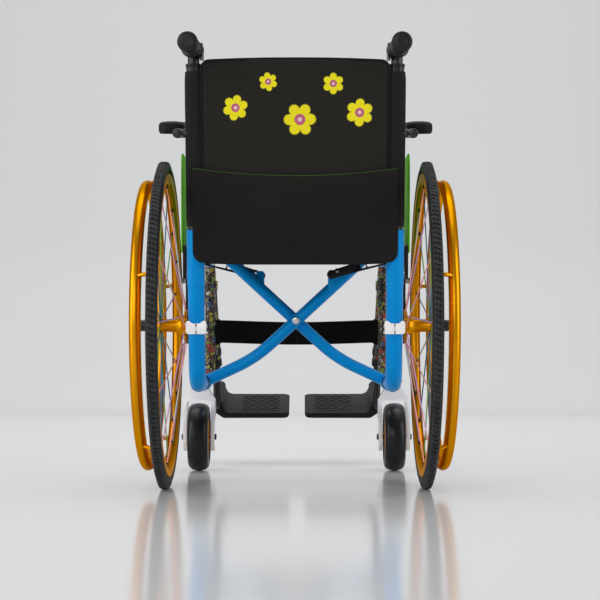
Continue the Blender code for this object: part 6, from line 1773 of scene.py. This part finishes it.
def flapLowAt(x):
    r, past = back["flapR"], abs(x) - back["flapHalf"] + back["flapR"]
    hem = back["flapLow"] - back["bow"] * (1 - abs(x / back["flapHalf"]) ** 6)
    return hem + (r - math.sqrt(max(r * r - past * past, 0)) if past > 0 else 0)


def flapDepth(x, up):  # the flap's rear skin: full below, standing off at the pocket's mouth
    share = x / back["flapHalf"]
    mouth = 0.003 * math.cos(share * math.pi / 2) * max(0.0, up) ** 4
    belly = 0.0022 * (1 - share ** 4) * math.sin(math.pi * min(max(up, 0), 1)) ** 0.8
    folds = 0.0007 * noise.noise(Vector((x * 22, up * 2.4, 4.0)))
    draw = 0.0006 * math.sin(x * 95 + up * 2.5) * max(0.0, up) ** 2 * (1 - share ** 2)
    return back["flapRear"] - mouth - belly + folds + draw


def makeFlap():
    half, tape = back["flapHalf"], back["tape"]
    inner = half - tape
    xs = [-half, -half + 0.0012, -half + 0.0035, -inner]
    xs += [-inner + 2 * inner * k / 68 for k in range(1, 68)]
    xs += [inner, half - 0.0035, half - 0.0012, half]
    ups = [0, 0.008, 0.022, 0.036] + [0.036 + 0.94 * k / 30 for k in range(1, 30)] + [0.976, 0.99, 1.0]

    def spotOf(layer, x, up):
        low, high = flapLowAt(x), flapTopAt(x)
        rim = min(half - abs(x), up * (high - low)) / tape
        roll = 0.5 * back["flapT"] * (1 - min(rim * 2.2, 1)) ** 2
        swell = 0.0006 if rim < 1.01 else 0.0
        v = flapDepth(x, up) + (back["flapT"] - roll if layer else roll - swell)
        return backAt(x, low + (high - low) * up, v)

    bm = bmesh.new()
    sewCloth(bm, xs, ups, spotOf, lambda i, j: i < 3 or i >= len(xs) - 4 or j < 3, 1)
    made = piece("pocketFlap", bm, [flapCloth, bindingTape], None, slot="black_fabric", smooth=50,
        levels=1)
    foldBack(made)
    mouth = [backAt(x, flapTopAt(x) - 0.0034, 0) for x in (half * 0.985 * k / 40
        for k in range(-40, 41))]
    foldBack(copiesAlong("pocketStitches", [laidOn(made, mouth, -1, 0.0001)],
        stitchForm(0.0026, 0.0005), back["greenStitches"], greenThread, None))
    turnAt = half - 0.003
    border = [backAt(s * turnAt, z, 0) for s, z in [(-1, flapTopAt(turnAt) - 0.006 - 0.138 * k / 24)
        for k in range(25)]]
    border += [backAt(x, flapLowAt(x * half / turnAt) + 0.0032, 0)
        for x in (turnAt * k / 40 for k in range(-39, 40))]
    border += [backAt(turnAt, flapTopAt(turnAt) - 0.144 + 0.138 * k / 24, 0) for k in range(25)]
    foldBack(copiesAlong("flapStitches", [laidOn(made, border, -1, 0.0001)],
        stitchForm(0.0026, 0.00038), 150, blackThread, None))


def makeSleeve(name, side, body):
    around, rows = 6 * back["ribs"], 30
    bm = bmesh.new()
    rings = []

    def addRing(z, radii):
        rings.append([bm.verts.new(onCane(side, z) + Vector(
            (r * math.cos(turn), r * math.sin(turn), 0))) for r, turn in zip(radii, angles(around))])

    for k in range(rows + 1):
        z = back["sleeveLow"] + (back["sleeveTop"] - back["sleeveLow"]) * k / rows
        fade = min(1.0, min(k, rows - k) / 2)
        radii = []
        for turn in angles(around):
            rib = back["ribDepth"] * math.cos(back["ribs"] * turn) * fade
            soft = 0.0003 * noise.noise(Vector((math.cos(turn) * 2, math.sin(turn) * 2, z * 30 + side)))
            radii.append(back["sleeveR"] + rib + soft - (0.0006 if k in (0, rows) else 0))
        addRing(z, radii)
    for z in (back["sleeveTop"], back["sleeveLow"]):
        addRing(z, [back["caneR"] + 0.0004] * around)
    loft(bm, rings + rings[:1], caps=False)
    pivot = onCane(side, armrestZ)
    slot = turned([(0, -0.001), (back["slotR"], -0.001), (back["slotR"], 0.04), (0, 0.04)], pivot,
        segments=32, along=(side, 0, 0))
    piece(name + "BackSleeve", bm, sleeveCloth, body, slot="black_fabric", smooth=50, cuts=[slot])
    low, high = back["sleeveLow"] + 0.002, back["sleeveTop"] - 0.004
    near, far = spanned(side, back["half"] - 0.003, chair["railX"] - 0.008)
    web = bmesh.new()
    loft(web, [[web.verts.new(backAt(x, z, v)) for x, z in ((near, low), (far, low), (far, high),
        (near, high))] for v in (-0.0115, -0.0075)])
    piece(name + "BackWeb", web, sideCloth, body, slot="black_fabric", bevel=0.0008)


panel = makeBackPanel()
makePanelTrim(panel)
makeFlap()
for name, side in sides:
    makeSleeve(name, side, name + "_frame")


# Seat sling in two halves that meet at its middle seam
seat = {"railX": 0.147, "railZ": 0.441, "railR": 0.011, "rear": -0.0255, "front": 0.3665, "sag": 0.01,
    "thick": 0.0042, "wrapR": 0.0116, "wrapEnd": math.radians(68), "channels": (0.055, 0.105),
    "folded": 0.17}


def makeSeatHalf(name, side, body):
    # across: from the middle seam out over the rail, then round its outer side
    across = [("flat", seat["railX"] * k / 26) for k in range(27)]
    across += [("bend", seat["wrapEnd"] * k / 8) for k in range(1, 9)]
    flatTop = seat["railZ"] + seat["wrapR"]
    reach, long = seat["railX"] - seat["railR"], seat["front"] - seat["rear"]

    def spotOf(layer, place, share):
        kind, value = place
        hem = min(share, 1 - share) * long
        thick = seat["thick"] * (0.55 + 0.45 * min(1.0, hem / 0.004))
        y = seat["rear"] + long * share
        if kind == "bend":
            r = seat["wrapR"] + (thick * 0.72 if layer else 0)
            return at(side * (seat["railX"] + r * math.sin(value)), y,
                seat["railZ"] + r * math.cos(value))
        sag = seat["sag"] * max(0.0, 1 - (value / reach) ** 2) * (
            0.86 + 0.14 * math.sin(math.pi * share))
        fill = 0.0012 * math.cos(noise.noise(Vector((value * 12, y * 9, 3.0))) * 2)
        groove = sum(math.exp(-((value - c) / 0.0022) ** 2) for c in (0, *seat["channels"]))
        groove += math.exp(-((hem - 0.014) / 0.0022) ** 2)
        fill -= 0.0011 * min(groove, 1.0)
        x = value if value else 0.00002
        return at(side * x, y, flatTop - sag + (thick + fill if layer else 0))

    bm = bmesh.new()
    crease = bm.edges.layers.float.new("crease_edge")
    skins = sewCloth(bm, across, shares(72), spotOf)
    for skin in skins:
        for one, other in zip(skin[0], skin[0][1:]):
            bm.edges.get((one, other))[crease] = 1.0  # the middle edges stay square, so no slit opens
    made = piece(name + "SeatSling", bm, seatCloth, body, stands="seat_sling", slot="black_fabric",
        smooth=55, levels=1)
    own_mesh(made)
    for label, ys in (("Rear", seat["rear"] + 0.014), ("Front", seat["front"] - 0.014)):
        points = [at(side * (0.004 + 0.138 * k / 20), ys, 0.47) for k in range(21)]
        tree = BVHTree.FromObject(made, bpy.context.evaluated_depsgraph_get())
        line = [tree.ray_cast(p, Vector((0, 0, -1)))[0] or p for p in points]
        thread = copiesAlong(name + "SeatStitch" + label, [line],
            stitchForm(back["stitch"], back["threadR"]), 34, greenThread, body)
        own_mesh(thread)


makeSeatHalf("left", -1, "right_arm")
makeSeatHalf("right", 1, "left_arm")
print("stage 9: back upholstery and seat sling sewn")


# Floor, backdrop, light and camera
studio = {"floor": (0.79, 0.79, 0.79), "air": 0.4, "cameraY": 2.93, "cameraX": 0.0145,
    "cameraZ": 0.2526, "focal": 97.14, "shiftX": -0.006, "shiftY": 0.0817}


def makeStage():
    bm = bmesh.new()
    line = [(-7.0, 0.0)] + [(3.0 + 3.0 * math.sin(math.pi / 2 * k),
        3.0 * (1 - math.cos(math.pi / 2 * k))) for k in shares(24)] + [(6.0, 8.0)]
    rows = [[bm.verts.new((x, y, z)) for x in (-11.0, 11.0)] for y, z in line]
    for one, other in zip(rows, rows[1:]):
        bm.faces.new((one[0], one[1], other[1], other[0]))
    sweep = meshPiece("sweep", bm, False)
    sweep.data.materials.append(newFinish("studioSweep", studio["floor"], 0.13,
        Specular_IOR_Level=1.0)[0])
    sweep.data.shade_smooth()


def makeLight(name, spot, target, size, power):
    data = bpy.data.lights.new(name, "AREA")
    data.shape = "RECTANGLE"
    data.size, data.size_y = size
    data.energy = power
    lamp = linkPiece(name, data)
    lamp.location = spot
    lamp.rotation_euler = (Vector(target) - Vector(spot)).to_track_quat("-Z", "Y").to_euler()


def makeCamera():
    data = bpy.data.cameras.new("camera")
    data.sensor_width = 36
    data.lens = studio["focal"]
    data.shift_x, data.shift_y = studio["shiftX"], studio["shiftY"]
    camera = linkPiece("camera", data)
    camera.location = (studio["cameraX"], chair["axleY"] - studio["cameraY"], studio["cameraZ"])
    camera.rotation_euler = (math.radians(90), 0, 0)
    bpy.context.scene.camera = camera
    bpy.context.scene.render.resolution_x = bpy.context.scene.render.resolution_y = 600


# where each lamp stands, what it looks at, its width and height, its power
lamps = {"leftBox": ((-3.0, -1.6, 1.5), (0, 0, 0.4), (1.8, 3.0), 52),
    "rightBox": ((3.0, -1.6, 1.5), (0, 0, 0.4), (1.8, 3.0), 44),
    "top": ((0.0, 0.4, 3.4), (0, 0, 0.2), (3.2, 2.6), 34), "front": ((-1.3, -3.8, 1.5), (0, 0, 0.35),
    (2.6, 1.8), 32), "wash": ((0.0, 1.6, 4.2), (0, 5.2, 1.4), (7.0, 1.6), 96)}

makeStage()
for name, values in lamps.items():
    makeLight(name, *values)
world = bpy.data.worlds.new("studioAir")
world.use_nodes = True
world.node_tree.nodes["Background"].inputs["Color"].default_value = (0.92, 0.94, 0.97, 1)
world.node_tree.nodes["Background"].inputs["Strength"].default_value = studio["air"]
bpy.context.scene.world = world
bpy.context.scene.view_settings.view_transform = "Standard"
makeCamera()
print("stage 10: floor, lights and camera set")
